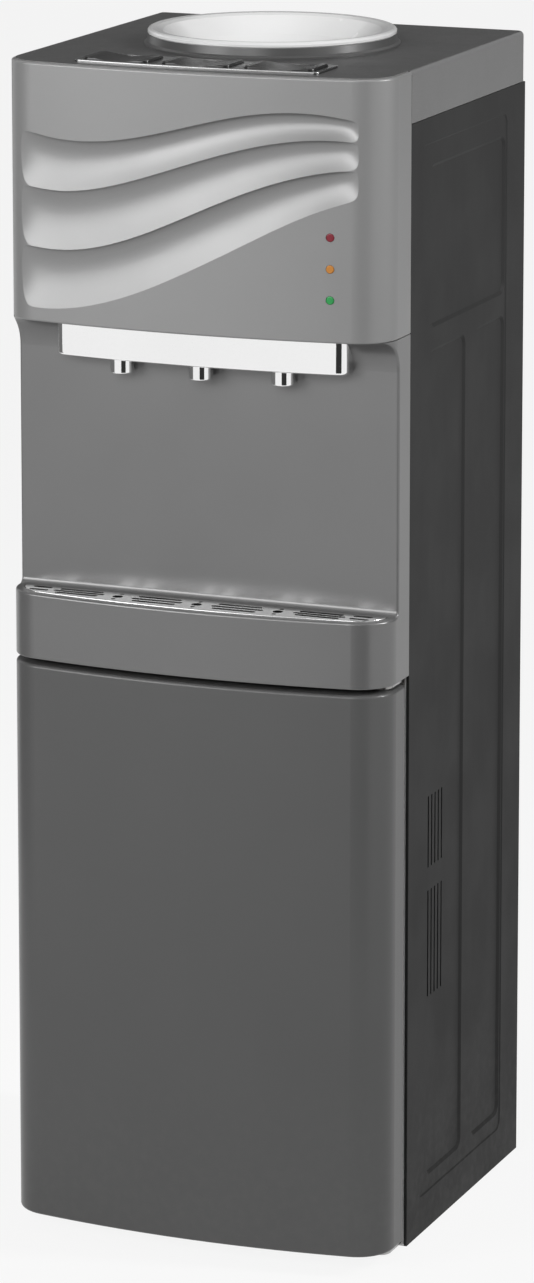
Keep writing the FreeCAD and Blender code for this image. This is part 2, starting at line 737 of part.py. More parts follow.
def lamp_height(name):
    """Height of a lamp above the floor."""
    return NICHE_TOP + LAMP_RISES[name]


def lamp_back_y():
    """Where the lamps end and their board begins."""
    return bow_y(LAMP_X) - LAMP_PROUD + LAMP_LENGTH


def make_upper_front_panel():
    """The bowed panel above the niche, with three scooped waves and the holes of the lamps."""
    rear = SEAM_Y - SEAM
    top = DECK - RIM_DROP
    shell = plan_prism(0, rear, NICHE_TOP, top).cut(plan_prism(WALL, rear + 20, NICHE_TOP - 1, top + 1))
    shell = round_level(shell, FRONT_EDGE_R, top, on_outline)
    shell = round_level(shell, FRONT_EDGE_R, NICHE_TOP, on_outline)
    thick = plan_prism(WALL - LAP, rear, CEILING_TOP + 0.5, DECK - BACKING_DROP)
    thick = thick.cut(plan_prism(WAVE_BACKING, rear + 20, CEILING_TOP, DECK))
    thick = thick.common(box(WAVE_LEFT, WAVE_RIGHT, FRONT, CORNER_Y, BASE, DECK))
    lamp_top = lamp_height("heating") + POST_OFFSET + 2 * POST_R
    thick = thick.cut(box(LAMP_X - BOARD_HALF - 1, HALF, FRONT, 0, BASE, lamp_top))
    shell = shell.fuse(thick).removeSplitter()
    for upper, lower in zip(WAVE_LINES, WAVE_LINES[1:]):
        shell = shell.cut(wave_cutter(upper, lower))
    for name in LAMP_RISES:
        shell = shell.cut(rod_back(LAMP_R + LAMP_GAP, LAMP_X, lamp_height(name), FRONT, lamp_back_y()))
    for height in (lamp_height("heating") + POST_OFFSET, lamp_height("power") - POST_OFFSET):
        shell = shell.fuse(rod_back(POST_R, LAMP_X, height, bow_y(LAMP_X) + WALL / 2, lamp_back_y()))
    return add_tabs(shell, (NICHE_TOP + TAB_HEIGHT, BAND_BOTTOM - 2 * TAB_HEIGHT))


def make_top_cover():
    """Deck, band round the sides and back, and the well that guides the buttons."""
    band = box(-HALF, HALF, SEAM_Y, BACK, BAND_BOTTOM + SEAM, DECK)
    band = round_upright(band, BAND_CORNER_R, lambda p: p.y > 0)
    band = round_level(band, DECK_EDGE_R, DECK, lambda p: p.y > SEAM_Y + 1)
    band = band.cut(box(-HALF + WALL, HALF - WALL, SEAM_Y - 1, BACK - WALL, BASE, DECK - WALL))
    tongue = plan_prism(WALL + FIT, SEAM_Y + 6, DECK - WALL, DECK)
    well = bow_band(WELL_FRONT - WELL_WALL, WELL_BACK + WELL_WALL, WELL_HALF + WELL_WALL,
                    WELL_FLOOR - WELL_WALL, DECK - 1)
    cover = band.fuse(tongue).fuse(well)
    for side in (-1, 1):
        for y0, y1 in ((SEAM_Y, SEAM_Y + POST_WIDTH), (BACK_FACE - POST_WIDTH, BACK_FACE)):
            cover = cover.fuse(side_box(side, HALF - WALL - POST_WIDTH, HALF - WALL + LAP, y0, y1,
                                        BAND_BOTTOM, DECK - WALL + LAP))
    cover = cover.cut(bow_band(WELL_FRONT, WELL_BACK, WELL_HALF, WELL_FLOOR, DECK + 1))
    for _, x, y in tap_positions():
        cover = cover.cut(cylinder(ROD_R + ROD_GAP, x, y, WELL_FLOOR - 5, WELL_FLOOR + 5))
    return cover.cut(cylinder(DECK_HOLE_R, 0, SEAT_Y, BAND_BOTTOM, DECK + 1)).removeSplitter()


def button_block(x, grow, z0, z1):
    """The plan of one button, grown all round, as an upright solid."""
    return bow_band(BUTTON_INSET - grow, BUTTON_BACK_INSET + grow, BUTTON_WIDTH / 2 + grow, z0, z1, x,
                    BUTTON_CORNER_R + grow)


def make_button_bezel():
    """Bright frame round the three buttons, with a lip that drops into the deck."""
    half = TAP_PITCH + BUTTON_WIDTH / 2 + BEZEL_RIB
    plate = bow_band(BUTTON_INSET - BEZEL_MARGIN, BUTTON_BACK_INSET + BEZEL_MARGIN, half, DECK,
                     DECK + BEZEL_THICK, 0.0, BEZEL_CORNER_R)
    plate = round_level(plate, BEZEL_EDGE_R, DECK + BEZEL_THICK)
    lip = bow_band(WELL_FRONT + FIT, WELL_BACK - FIT, WELL_HALF - FIT, DECK - WALL, DECK + BEZEL_THICK / 2)
    frame = plate.fuse(lip)
    for _, x, _y in tap_positions():
        frame = frame.cut(button_block(x, BUTTON_GAP, DECK - WALL - 1, DECK + BEZEL_THICK + 1))
    return frame


def make_button(x, y):
    """Push button with a dished top and a socket for its rod."""
    cap = round_level(button_block(x, 0, BUTTON_BOTTOM, BUTTON_TOP), BUTTON_EDGE_R, BUTTON_TOP)
    chord = BUTTON_WIDTH / 2 - BUTTON_CORNER_R
    dish_r = (chord ** 2 + BUTTON_DISH ** 2) / (2 * BUTTON_DISH)
    middle_y = bow_y(x, BUTTON_INSET + BUTTON_LENGTH / 2)
    dish = rod_back(dish_r, x, BUTTON_TOP + dish_r - BUTTON_DISH, middle_y - BUTTON_LENGTH,
                    middle_y + BUTTON_LENGTH)
    socket = cylinder(ROD_R + HOSE_GRIP, x, y, BUTTON_BOTTOM - 1, BUTTON_BOTTOM + ROD_SOCKET)
    return cap.cut(dish).cut(socket)


def make_push_rod(x, y):
    """Rod from the button down into the tap."""
    return cylinder(ROD_R, x, y, TAP_BASE + ROD_LIFT, BUTTON_BOTTOM + ROD_SOCKET)


def make_button_spring(x, y):
    """Return spring between the well's floor and the button."""
    return sleeve(SPRING_R, SPRING_R - SPRING_WIRE, x, y, WELL_FLOOR, BUTTON_BOTTOM)


# ---- taps ----
def make_tap_spouts():
    """Bright spouts under the fascia, each with a flange on the niche's ceiling."""
    spouts = []
    for _, x, y in tap_positions():
        spout = cylinder(SPOUT_R, x, y, NICHE_TOP - SPOUT_DROP, TAP_BASE)
        spout = round_level(spout, 1.5, NICHE_TOP - SPOUT_DROP)
        spout = spout.fuse(cylinder(SPOUT_FLANGE_R, x, y, CEILING_TOP, TAP_BASE))
        spouts.append(spout.cut(cylinder(SPOUT_BORE_R, x, y, APRON_TOP, TAP_BASE + 1)))
    return Part.makeCompound(spouts)


def make_tap_body(x, y):
    """Valve body on the spout: a guide for the rod, and a barb for the hose at the back."""
    barb_end = y + TAP_BODY_R + BARB_LENGTH
    body = round_level(cylinder(TAP_BODY_R, x, y, TAP_BASE, TAP_TOP), 1.5, TAP_TOP)
    body = body.fuse(rod_back(BARB_R, x, BARB_Z, y, barb_end))
    body = body.cut(cylinder(ROD_R + ROD_GAP, x, y, TAP_BASE + TAP_CHAMBER, TAP_TOP + 1))
    body = body.cut(cylinder(SPOUT_BORE_R, x, y, TAP_BASE - 1, TAP_BASE + TAP_CHAMBER))
    return body.cut(rod_back(BARB_BORE_R, x, BARB_Z, y, barb_end + 1))


def make_tap_fascia():
    """Bright bowed bar round the spouts, which hangs by its studs from the niche's ceiling."""
    low = NICHE_TOP - FASCIA_DROP
    front = FRONT + FASCIA_INSET
    bar = bow_band(FASCIA_INSET, FASCIA_INSET + FASCIA_THICK, HALF - FASCIA_MARGIN, low, NICHE_TOP + 5)
    bar = round_upright(bar, FASCIA_END_R, lambda p: p.y < front + BOW_RISE)
    bar = round_level(bar, FASCIA_EDGE_R, low, lambda p: p.y < front + BOW_RISE + FASCIA_END_R)
    bar = bar.common(niche_space(-FIT))
    for _, x, y in tap_positions():
        bar = bar.cut(cylinder(SPOUT_R + FIT, x, y, low - 1, NICHE_TOP))
    for x, y in stud_places():
        bar = bar.fuse(cylinder(STUD_R, x, y, low + FASCIA_DROP / 2, CEILING_TOP + STUD_HEAD / 2))
        bar = bar.fuse(cylinder(STUD_HEAD_R, x, y, CEILING_TOP, CEILING_TOP + STUD_HEAD))
    return bar


# ---- drip tray ----
def make_drip_tray():
    """Shallow catch basin in the apron's pocket."""
    tray = plan_prism(TRAY_INSET, TRAY_BACK_Y, POCKET_FLOOR, TRAY_RIM)
    return tray.cut(plan_prism(TRAY_INSET + TRAY_WALL, TRAY_BACK_Y - TRAY_WALL, POCKET_FLOOR + TRAY_WALL,
                               TRAY_RIM + 1))


def capsule(length, width, x, y, z0, z1):
    """An upright slot with round ends, along X."""
    r = width / 2
    reach = length / 2 - r
    slot = box(x - reach, x + reach, y - r, y + r, z0, z1)
    return slot.fuse(cylinder(r, x - reach, y, z0, z1)).fuse(cylinder(r, x + reach, y, z0, z1))


def make_drip_grille():
    """Bright grille: long ovals between the taps, a drain under each tap and short ovals at the ends."""
    z0, z1 = TRAY_RIM - 1, TRAY_RIM + GRILLE_THICK + 1
    plate = plan_prism(TRAY_INSET, TRAY_BACK_Y, TRAY_RIM, TRAY_RIM + GRILLE_THICK)
    plate = round_level(plate, GRILLE_EDGE_R, TRAY_RIM + GRILLE_THICK)

    def middle_y(x):
        return (bow_y(x, TRAY_INSET) + TRAY_BACK_Y) / 2

    cuts = []
    for offset in (-1.5, -0.5, 0.5, 1.5):
        x = offset * TAP_PITCH
        pitch = OVAL_PITCH - (0.0 if abs(offset) < 1 else 1.4)
        for row in (-1, 0, 1):
            length = OVAL_LENGTH - OVAL_STEP * abs(row)
            cuts.append(capsule(length, OVAL_WIDTH, x, middle_y(x) + row * pitch, z0, z1))
    for _, x, _y in tap_positions():
        cuts.append(cylinder(DRAIN_HOLE_R, x, middle_y(x), z0, z1))
        for side in (-1, 1):
            cuts.append(cylinder(DROP_HOLE_R, x, middle_y(x) + side * DROP_HOLE_REACH, z0, z1))
    for side in (-1, 1):
        x = side * (HALF - END_OVAL_MARGIN)
        for row in (-1, 1):
            cuts.append(capsule(END_OVAL_LENGTH, OVAL_WIDTH, x, middle_y(x) + row * OVAL_WIDTH, z0, z1))
    for tool in cuts:
        plate = plate.cut(tool)
    return plate


# ---- bottle seat ----
def make_collar_ring():
    """Dark ring round the deck's hole, which carries the seat's rim."""
    inner, foot, lip = DECK_HOLE_R + COLLAR_STEP, DECK_HOLE_R + COLLAR_FOOT, DECK_HOLE_R + COLLAR_LIP
    outline = [
        (inner, DECK), (foot, DECK), (foot, DECK + 1.5), (lip + 1.2, DECK + 3.0), (lip, COLLAR_TOP),
        (inner, COLLAR_TOP),
    ]
    return revolve(outline, 0, SEAT_Y)


def make_bottle_seat():
    """White funnel: broad rim, bowl, guide bore for the bottle's neck and a chamber under it."""
    top, low, lip = SEAT_TOP, COLLAR_TOP, SEAT_RIM_R
    edge = DECK_HOLE_R - BOWL_STEP
    throat = NECK_BORE_R + 3.0
    depth = top - BOWL_DROP - BORE_TOP - MOUTH
    bowl = [(throat + r * (edge - throat), top - BOWL_DROP - h * depth) for r, h in BOWL_PROFILE]
    tip = COLD_TANK_TOP - OUTLET_DIP
    inner = [
        (lip, low + 1.0), (lip, top - 2.2), (lip - 1.0, top - 0.7), (lip - 3.0, top),
        (lip - 8.0, top - 0.4), (lip - 13.0, top - 2.0),
    ] + bowl + [
        (throat, BORE_TOP + MOUTH), (NECK_BORE_R, BORE_TOP), (NECK_BORE_R, BORE_BOTTOM),
        (CHAMBER_R, BORE_BOTTOM), (CHAMBER_R, CHAMBER_FLOOR), (OUTLET_R, CHAMBER_FLOOR), (OUTLET_R, tip),
    ]
    outlet, chamber = OUTLET_R + OUTLET_WALL, CHAMBER_R + SEAT_WALL
    outside = [(r + SEAT_WALL, h - SEAT_WALL) for r, h in reversed(bowl[1:])]
    outer = [
        (outlet, tip), (outlet, CHAMBER_FLOOR - SEAT_WALL), (chamber, CHAMBER_FLOOR - SEAT_WALL),
        (chamber, BORE_TOP + 2.0),
    ] + outside + [
        (edge + 3.0, low - 0.5), (DECK_HOLE_R - 1.0, low - 3.0), (DECK_HOLE_R - 1.0, low), (lip - 1.0, low),
    ]
    return revolve(inner + outer, 0, SEAT_Y)


def make_bottle_probe():
    """Hollow spike that opens the bottle's cap, standing on the chamber's floor."""
    base = CHAMBER_FLOOR
    tip = BORE_BOTTOM - 2.0
    outline = [
        (PROBE_BORE_R, base), (PROBE_FLANGE_R, base), (PROBE_FLANGE_R, base + PROBE_FLANGE),
        (PROBE_R, base + PROBE_FLANGE), (PROBE_R - 1.0, tip - PROBE_TIP), (PROBE_BORE_R + 0.6, tip - 0.8),
        (PROBE_BORE_R, tip),
    ]
    probe = revolve(outline, 0, SEAT_Y)
    return probe.cut(box(-PROBE_SLIT / 2, PROBE_SLIT / 2, SEAT_Y - PROBE_FLANGE_R, SEAT_Y + PROBE_FLANGE_R,
                         base + PROBE_FLANGE + 3, tip - PROBE_TIP - 1))


# ---- lamps ----
def make_lamp(height):
    """Round lens through the front panel, standing on the board behind it."""
    y = lamp_back_y() - LAMP_LENGTH
    lens = rod_back(LAMP_R, LAMP_X, height, y, lamp_back_y())
    front = [e for e in lens.Edges if abs(e.BoundBox.YMax - y) < 1e-4]
    return lens.makeFillet(LAMP_EDGE_R, front)


def make_indicator_board():
    """Printed board that carries the three lamps."""
    y = lamp_back_y()
    low, high = lamp_height("power") - BOARD_OVERLAP, lamp_height("heating") + BOARD_OVERLAP
    back = y + BOARD_THICK
    board = box(LAMP_X - BOARD_HALF, LAMP_X + BOARD_HALF, y, back, low, high)
    for name in LAMP_RISES:
        height = lamp_height(name)
        board = board.fuse(box(LAMP_X - CHIP_HALF, LAMP_X + CHIP_HALF, back, back + CHIP_HALF,
                               height - CHIP_HALF, height + CHIP_HALF))
    return board


# ---- sides, back and base ----
def rounded_rect(y0, y1, z0, z1, radius, x):
    """A rectangle with round corners in the plane of a side panel, as a wire."""
    block = box(x, x + 1, y0, y1, z0, z1)
    level = [e for e in block.Edges if e.BoundBox.XLength > 0.5]
    block = block.makeFillet(radius, level)
    flat = [f for f in block.Faces if abs(f.CenterOfMass.x - x) < 1e-6]
    return flat[0].OuterWire


def pressed_pocket(bounds, depth, surface_x):
    """A pocket with sloping sides, pressed into the outer face of the right side panel."""
    y0, y1, z0, z1 = bounds
    slope = depth * PRESS_SLOPE
    outer = rounded_rect(y0, y1, z0, z1, WINDOW_R, surface_x)
    inner = rounded_rect(y0 + slope, y1 - slope, z0 + slope, z1 - slope, WINDOW_R - slope, surface_x - depth)
    cap = Part.Face(outer).extrude(V(5, 0, 0))
    return Part.makeLoft([outer, inner], True, True).fuse(cap)


def side_windows():
    """Bounds of the three pressed windows of a side panel."""
    front, back = SEAM_Y + WINDOW_FRONT, BACK - WINDOW_BACK
    top = BAND_BOTTOM - WINDOW_TOP
    top_floor = top - TOP_WINDOW_HEIGHT
    low, high = BASE + WINDOW_FLOOR, top_floor - WINDOW_RIB
    yield front, back, top_floor, top
    yield front, front + FRONT_WINDOW_WIDTH, low, high
    yield back - REAR_WINDOW_WIDTH, back, low, high


def make_side_panel(side):
    """Side panel with a pressed field, three pressed windows, vent slots and two inner flanges."""
    panel = box(SIDE_INNER, HALF, SEAM_Y, BACK, BASE, BAND_BOTTOM)
    y0, y1 = SEAM_Y + FIELD_FRONT, BACK - FIELD_BACK
    z0, z1 = BASE + FIELD_FLOOR, BAND_BOTTOM - FIELD_TOP
    panel = panel.fuse(box(PLATE_HALF, SIDE_INNER + LAP, y0 + 8, y1 + 8, z0 + 6, z1 - 6))
    panel = panel.cut(pressed_pocket((y0, y1, z0, z1), FIELD_DROP, HALF))
    for bounds in side_windows():
        panel = panel.cut(pressed_pocket(bounds, WINDOW_DROP, HALF - FIELD_DROP))
    for z_low, z_high in SLOT_ROWS:
        for i in range(SLOT_COUNT):
            y = SEAM_Y + SLOT_FIRST + i * SLOT_PITCH
            panel = panel.cut(box(SIDE_INNER - 10, HALF + 1, y, y + SLOT_WIDTH, BASE + z_low, BASE + z_high))
    flanges = (
        (FRONT_FLANGE, SEAM_Y, SEAM_Y + SHEET, APRON_BOTTOM + 1),
        (REAR_FLANGE, BACK_PANEL_Y - SHEET, BACK_PANEL_Y, BACK_PANEL_FLOOR),
    )
    for width, y_low, y_high, z_low in flanges:
        panel = panel.fuse(box(CORE_HALF - width, SIDE_INNER + LAP, y_low, y_high, z_low, BAND_BOTTOM))
    for x, z in screw_places():
        if x > 0:
            panel = panel.cut(rod_back(SCREW_R + FIT, x, z, BACK_PANEL_Y - 5, BACK_PANEL_Y + 1))
    return panel.mirror(V(0, 0, 0), RIGHTWARD) if side < 0 else panel


def make_base_plate():
    """Steel pan with turned-up edges, which carries the feet, the liner and the compressor."""
    back = BACK - 2.0
    pan = box(-SIDE_INNER, SIDE_INNER, SEAM_Y, back, BASE, BASE + PAN_EDGE)
    front = SEAM_Y + LINER_FLANGE + FIT
    pan = pan.cut(box(-WIDTH, WIDTH, SEAM_Y - 1, front, BASE + SHEET, BASE + PAN_EDGE + 1))
    return pan.cut(box(-SIDE_INNER + SHEET, SIDE_INNER - SHEET, SEAM_Y, back - SHEET, BASE + SHEET,
                       BASE + PAN_EDGE + 1))


def make_feet():
    """Four rubber feet under the base plate."""
    feet = []
    for x in (-HALF + FOOT_X_MARGIN, HALF - FOOT_X_MARGIN):
        for y in (SEAM_Y + FOOT_FRONT, BACK - FOOT_BACK):
            foot = Part.makeCone(FOOT_R - 2.0, FOOT_R, FOOT_HEIGHT, V(x, y, 0), UP)
            feet.append(round_level(foot, 1.0, 0.0))
    return Part.makeCompound(feet)


def screw_places():
    """Where the back panel is screwed on."""
    low, high = BACK_PANEL_FLOOR + SCREW_MARGIN, BAND_BOTTOM - SCREW_MARGIN
    for x in (-CORE_HALF + SCREW_MARGIN, CORE_HALF - SCREW_MARGIN):
        for i in range(SCREW_ROWS):
            yield x, low + (high - low) * i / (SCREW_ROWS - 1)


def make_back_panel():
    """Steel back with openings for the drain and the mains lead, and a window for the switches."""
    y0, y1 = BACK_PANEL_Y, BACK_FACE
    panel = box(-CORE_HALF, CORE_HALF, y0, y1, BACK_PANEL_FLOOR, BAND_BOTTOM)
    panel = panel.cut(box(SWITCH_X - SWITCH_PLATE_X, SWITCH_X + SWITCH_PLATE_X, y0 - 1, y1 + 1,
                          SWITCH_Z - SWITCH_PLATE_Z, SWITCH_Z + SWITCH_PLATE_Z))
    panel = panel.cut(rod_back(DRAIN_R + FIT, DRAIN_X, OUTLET_HEIGHT, y0 - 1, y1 + 1))
    panel = panel.cut(rod_back(GLAND_R + FIT, GLAND_X, OUTLET_HEIGHT, y0 - 1, y1 + 1))
    for x, z in screw_places():
        panel = panel.cut(rod_back(SCREW_R + FIT, x, z, y0 - 1, y1 + 1))
    return panel


def make_panel_screws():
    """Pan-head screws with a cross slot that hold the back panel."""
    screws = []
    top = BACK_FACE + SCREW_HEAD
    for x, z in screw_places():
        screw = rod_back(SCREW_HEAD_R, x, z, BACK_FACE, top)
        screw = screw.fuse(rod_back(SCREW_R, x, z, BACK_PANEL_Y - SCREW_LENGTH, BACK_FACE + LAP))
        for half_x, half_z in ((2.4, 0.5), (0.5, 2.4)):
            screw = screw.cut(box(x - half_x, x + half_x, top - 1.0, top + 1, z - half_z, z + half_z))
        screws.append(screw)
    return Part.makeCompound(screws)


def switch_places():
    """The x of each rocker switch."""
    return [SWITCH_X + side * SWITCH_PITCH / 2 for side in (-1, 1)]


def make_switch_plate():
    """Frame in the back panel that holds the two rocker switches on their trunnions."""
    half_x, half_z = SWITCH_PLATE_X, SWITCH_PLATE_Z
    plate = box(SWITCH_X - half_x - SWITCH_RIM, SWITCH_X + half_x + SWITCH_RIM, BACK_FACE, BACK_FACE + 2.0,
                SWITCH_Z - half_z - SWITCH_RIM, SWITCH_Z + half_z + SWITCH_RIM)
    plate = plate.fuse(box(SWITCH_X - half_x + FIT, SWITCH_X + half_x - FIT, BACK_FACE - SWITCH_BLOCK,
                           BACK_FACE + LAP, SWITCH_Z - half_z + FIT, SWITCH_Z + half_z - FIT))
    reach = SWITCH_HALF_X + TRUNNION_LENGTH + FIT
    clear_x, clear_z = SWITCH_HALF_X + 0.5, SWITCH_HALF_Z + 1.6
    for x in switch_places():
        plate = plate.cut(box(x - clear_x, x + clear_x, BACK_FACE - SWITCH_BLOCK + 3, BACK_FACE + 3,
                              SWITCH_Z - clear_z, SWITCH_Z + clear_z))
        plate = plate.cut(rod_across(TRUNNION_R + TRUNNION_GAP, x - reach, x + reach, SWITCH_AXIS_Y, SWITCH_Z))
    return plate


def make_rocker(x):
    """Rocker of a switch, tipped to its off side, on a trunnion inside the plate."""
    y, z = SWITCH_AXIS_Y, SWITCH_Z
    left = x - SWITCH_HALF_X
    outline = [V(left, y - 6, z - 6), V(left, y + 4.4, z - SWITCH_HALF_Z), V(left, y + 3.2, z),
               V(left, y + 4.4, z + SWITCH_HALF_Z), V(left, y - 6, z + 6), V(left, y - 6, z - 6)]
    rocker = Part.Face(Part.makePolygon(outline)).extrude(V(2 * SWITCH_HALF_X, 0, 0))
    rocker.rotate(V(x, y, z), RIGHTWARD, -SWITCH_TILT)
    reach = SWITCH_HALF_X + TRUNNION_LENGTH
    return rocker.fuse(rod_across(TRUNNION_R, x - reach, x + reach, y, z))


def make_cable_gland():
    """Gland for the mains lead in the back panel."""
    gland = rod_back(GLAND_R, GLAND_X, OUTLET_HEIGHT, BACK_FACE - 12, BACK_FACE + LAP)
    gland = gland.fuse(rod_back(GLAND_R + 4, GLAND_X, OUTLET_HEIGHT, BACK_FACE, BACK_FACE + 3))
    gland = gland.fuse(rod_back(GLAND_R + 1, GLAND_X, OUTLET_HEIGHT, BACK_FACE + 3, BACK_FACE + 13))
    return gland.cut(rod_back(GLAND_BORE_R, GLAND_X, OUTLET_HEIGHT, BACK_FACE - 13, BACK_FACE + 14))


def make_drain_fitting():
    """Drain stub of the hot tank through the back panel, with a flange outside."""
    inner, outer = BACK_FACE - DRAIN_INNER, BACK_FACE + DRAIN_LENGTH
    stub = rod_back(DRAIN_R, DRAIN_X, OUTLET_HEIGHT, inner, outer)
    stub = stub.fuse(rod_back(DRAIN_FLANGE_R, DRAIN_X, OUTLET_HEIGHT, BACK_FACE, BACK_FACE + 2))
    return stub.cut(rod_back(BARB_R, DRAIN_X, OUTLET_HEIGHT, inner - 1, outer + 1))


def make_drain_cap():
    """Ribbed cap over the drain stub."""
    y0, stub_end = BACK_FACE + CAP_GAP, BACK_FACE + DRAIN_LENGTH + FIT
    y1 = stub_end + CAP_END
    radius = DRAIN_R + CAP_WALL
    cap = rod_back(radius, DRAIN_X, OUTLET_HEIGHT, y0, y1)
    rear = [e for e in cap.Edges if abs(e.BoundBox.YMin - y1) < 1e-4]
    cap = cap.makeFillet(1.5, rear)
    for i in range(12):
        angle = 2 * math.pi * i / 12
        x, z = DRAIN_X + radius * math.cos(angle), OUTLET_HEIGHT + radius * math.sin(angle)
        cap = cap.cut(rod_back(1.1, x, z, y0 + 2, y1 + 1))
    return cap.cut(rod_back(DRAIN_R + FIT, DRAIN_X, OUTLET_HEIGHT, y0 - 1, stub_end))


# ---- storage compartment ----
def make_cabinet_liner():
    """White inner box of the cabinet with a step over the compressor and a flange behind the door."""
    t = LINER_WALL
    outer = box(-LINER_HALF - t, LINER_HALF + t, SEAM_Y, LINER_BACK + t, LINER_FLOOR - t, LINER_TOP + t)
    outer = outer.cut(box(-WIDTH, WIDTH, STEP_Y + t, BACK, 0, STEP_TOP - t))
    flange = box(-CORE_HALF, CORE_HALF, SEAM_Y, SEAM_Y + LINER_FLANGE, BASE + SHEET, DOOR_TOP + DECK_LIFT)
    inner = box(-LINER_HALF, LINER_HALF, SEAM_Y - 1, LINER_BACK, LINER_FLOOR, LINER_TOP)
    inner = inner.cut(box(-WIDTH, WIDTH, STEP_Y, BACK, 0, STEP_TOP))
    long_edges = []
    for edge in inner.Edges:
        size = edge.BoundBox
        outermost = size.ZMin > LINER_TOP - 1 or size.ZMax < LINER_FLOOR + 1
        if size.YLength > 1 and size.XLength < 1 and outermost:
            long_edges.append(edge)
    liner = outer.fuse(flange).cut(inner.makeFillet(LINER_EDGE_R, long_edges))
    for side in (-1, 1):
        rail = side_box(side, LINER_HALF - SHELF_RAIL, LINER_HALF + t / 2, SEAM_Y + 15, LINER_BACK + t / 2,
                        SHELF_HEIGHT - RAIL_THICK, SHELF_HEIGHT)
        liner = liner.fuse(rail)
    return liner.removeSplitter()


def make_wire_shelf():
    """Wire shelf on the liner's rails."""
    r = SHELF_WIRE_R
    z = SHELF_HEIGHT + r + SHELF_REST
    half = LINER_HALF - 1.5 - r
    y0, y1 = SEAM_Y + 16 + r, LINER_BACK - 3 - r
    corners = [V(-half, y0, z), V(half, y0, z), V(half, y1, z), V(-half, y1, z)]
    parts = []
    for a, b in zip(corners, corners[1:] + corners[:1]):
        parts.append(Part.makeCylinder(r, (b - a).Length, a, b - a))
        parts.append(Part.makeSphere(r, a))
    for i in range(1, SHELF_BARS + 1):
        parts.append(rod_back(0.7 * r, -half + 2 * half * i / (SHELF_BARS + 1), z, y0, y1))
    return parts[0].multiFuse(parts[1:])


# ---- door ----
def make_door_panel():
    """Bowed outer skin of the door, with a ledge for the inner panel and bosses for the hinge bushes."""
    t = DOOR_SKIN
    skin = plan_prism(0, DOOR_BACK, DOOR_BOTTOM, DOOR_TOP)
    skin = round_level(skin, DOOR_EDGE_R, DOOR_TOP, on_outline)
    skin = round_level(skin, DOOR_EDGE_R, DOOR_BOTTOM, on_outline)
    skin = skin.cut(plan_prism(t, DOOR_BACK + 1, DOOR_BOTTOM + t, DOOR_TOP - t))
    inside = t + DOOR_LEDGE
    ledge = box(-HALF + t - LAP, HALF - t + LAP, DOOR_BACK - 2 * t, DOOR_BACK - t, DOOR_BOTTOM + t - LAP,
                DOOR_TOP - t + LAP)
    ledge = ledge.cut(box(-HALF + inside, HALF - inside, FRONT, 0, DOOR_BOTTOM + inside, DOOR_TOP - inside))
    skin = skin.fuse(ledge)
    depth = BUSH_LENGTH + 4
    for z0, z1 in ((DOOR_BOTTOM + 1, DOOR_BOTTOM + depth), (DOOR_TOP - depth, DOOR_TOP - 1)):
        skin = skin.fuse(cylinder(BUSH_R + BOSS_WALL, HINGE_X, HINGE_Y, z0, z1))
    for z0, z1 in ((DOOR_BOTTOM - 1, DOOR_BOTTOM + BUSH_LENGTH), (DOOR_TOP - BUSH_LENGTH, DOOR_TOP + 1)):
        skin = skin.cut(cylinder(BUSH_R + BUSH_GAP, HINGE_X, HINGE_Y, z0, z1))
    return skin


def make_door_liner():
    """Flat inner panel of the door with a raised field."""
    inset = DOOR_SKIN + FIT
    half = HALF - inset
    liner = box(-half, half, DOOR_BACK - DOOR_SKIN, DOOR_BACK, DOOR_BOTTOM + inset, DOOR_TOP - inset)
    reach = LINER_HALF - FIELD_MARGIN
    field = box(-reach, reach, DOOR_BACK - LAP, DOOR_BACK + FIELD_HEIGHT, LINER_FLOOR + FIELD_MARGIN,
                LINER_TOP - FIELD_MARGIN)
    corners = [e for e in field.Edges if e.BoundBox.YLength > 5]
    return liner.fuse(field.makeFillet(FIELD_R, corners))


def make_door_gasket():
    """Magnetic seal with a bellows fold, which closes on the liner's flange."""
    y0, y1 = DOOR_BACK, SEAM_Y - FIT
    z0, z1 = LINER_FLOOR - GASKET_OVERLAP, LINER_TOP + GASKET_OVERLAP
    half = HALF - GASKET_SIDE
    w, fold = GASKET_WIDTH, GASKET_FOLD
    seal = box(-half, half, y0, y1, z0, z1).cut(box(-half + w, half - w, y0 - 1, y1 + 1, z0 + w, z1 - w))
    groove = box(-half - 1, half + 1, y0 + fold, y0 + 2 * fold, z0 - 1, z1 + 1)
    return seal.cut(groove.cut(box(-half + fold, half - fold, y0, y1, z0 + fold, z1 - fold)))


def make_door_bushes():
    """The two plastic bushes pressed into the door."""
    spans = ((DOOR_BOTTOM, DOOR_BOTTOM + BUSH_LENGTH), (DOOR_TOP - BUSH_LENGTH, DOOR_TOP))
    return Part.makeCompound([sleeve(BUSH_R, HINGE_PIN_R + HINGE_PIN_GAP, HINGE_X, HINGE_Y, z0, z1)
                              for z0, z1 in spans])


def hinge_bracket(plate_low, leg_low, pin_low, pin_high):
    """Angle bracket on the liner's flange with a riveted pin."""
    plate_high = plate_low + BRACKET
    x1 = CORE_HALF - 1
    arm = box(HINGE_X - BRACKET_HALF, x1, HINGE_Y, SEAM_Y, plate_low, plate_high)
    arm = arm.fuse(cylinder(BRACKET_HALF, HINGE_X, HINGE_Y, plate_low, plate_high))
    leg = box(HALF - GASKET_SIDE + 1.5, x1, SEAM_Y - BRACKET, SEAM_Y, leg_low, leg_low + BRACKET_LEG)
    return arm.fuse(leg).fuse(cylinder(HINGE_PIN_R, HINGE_X, HINGE_Y, pin_low, pin_high))


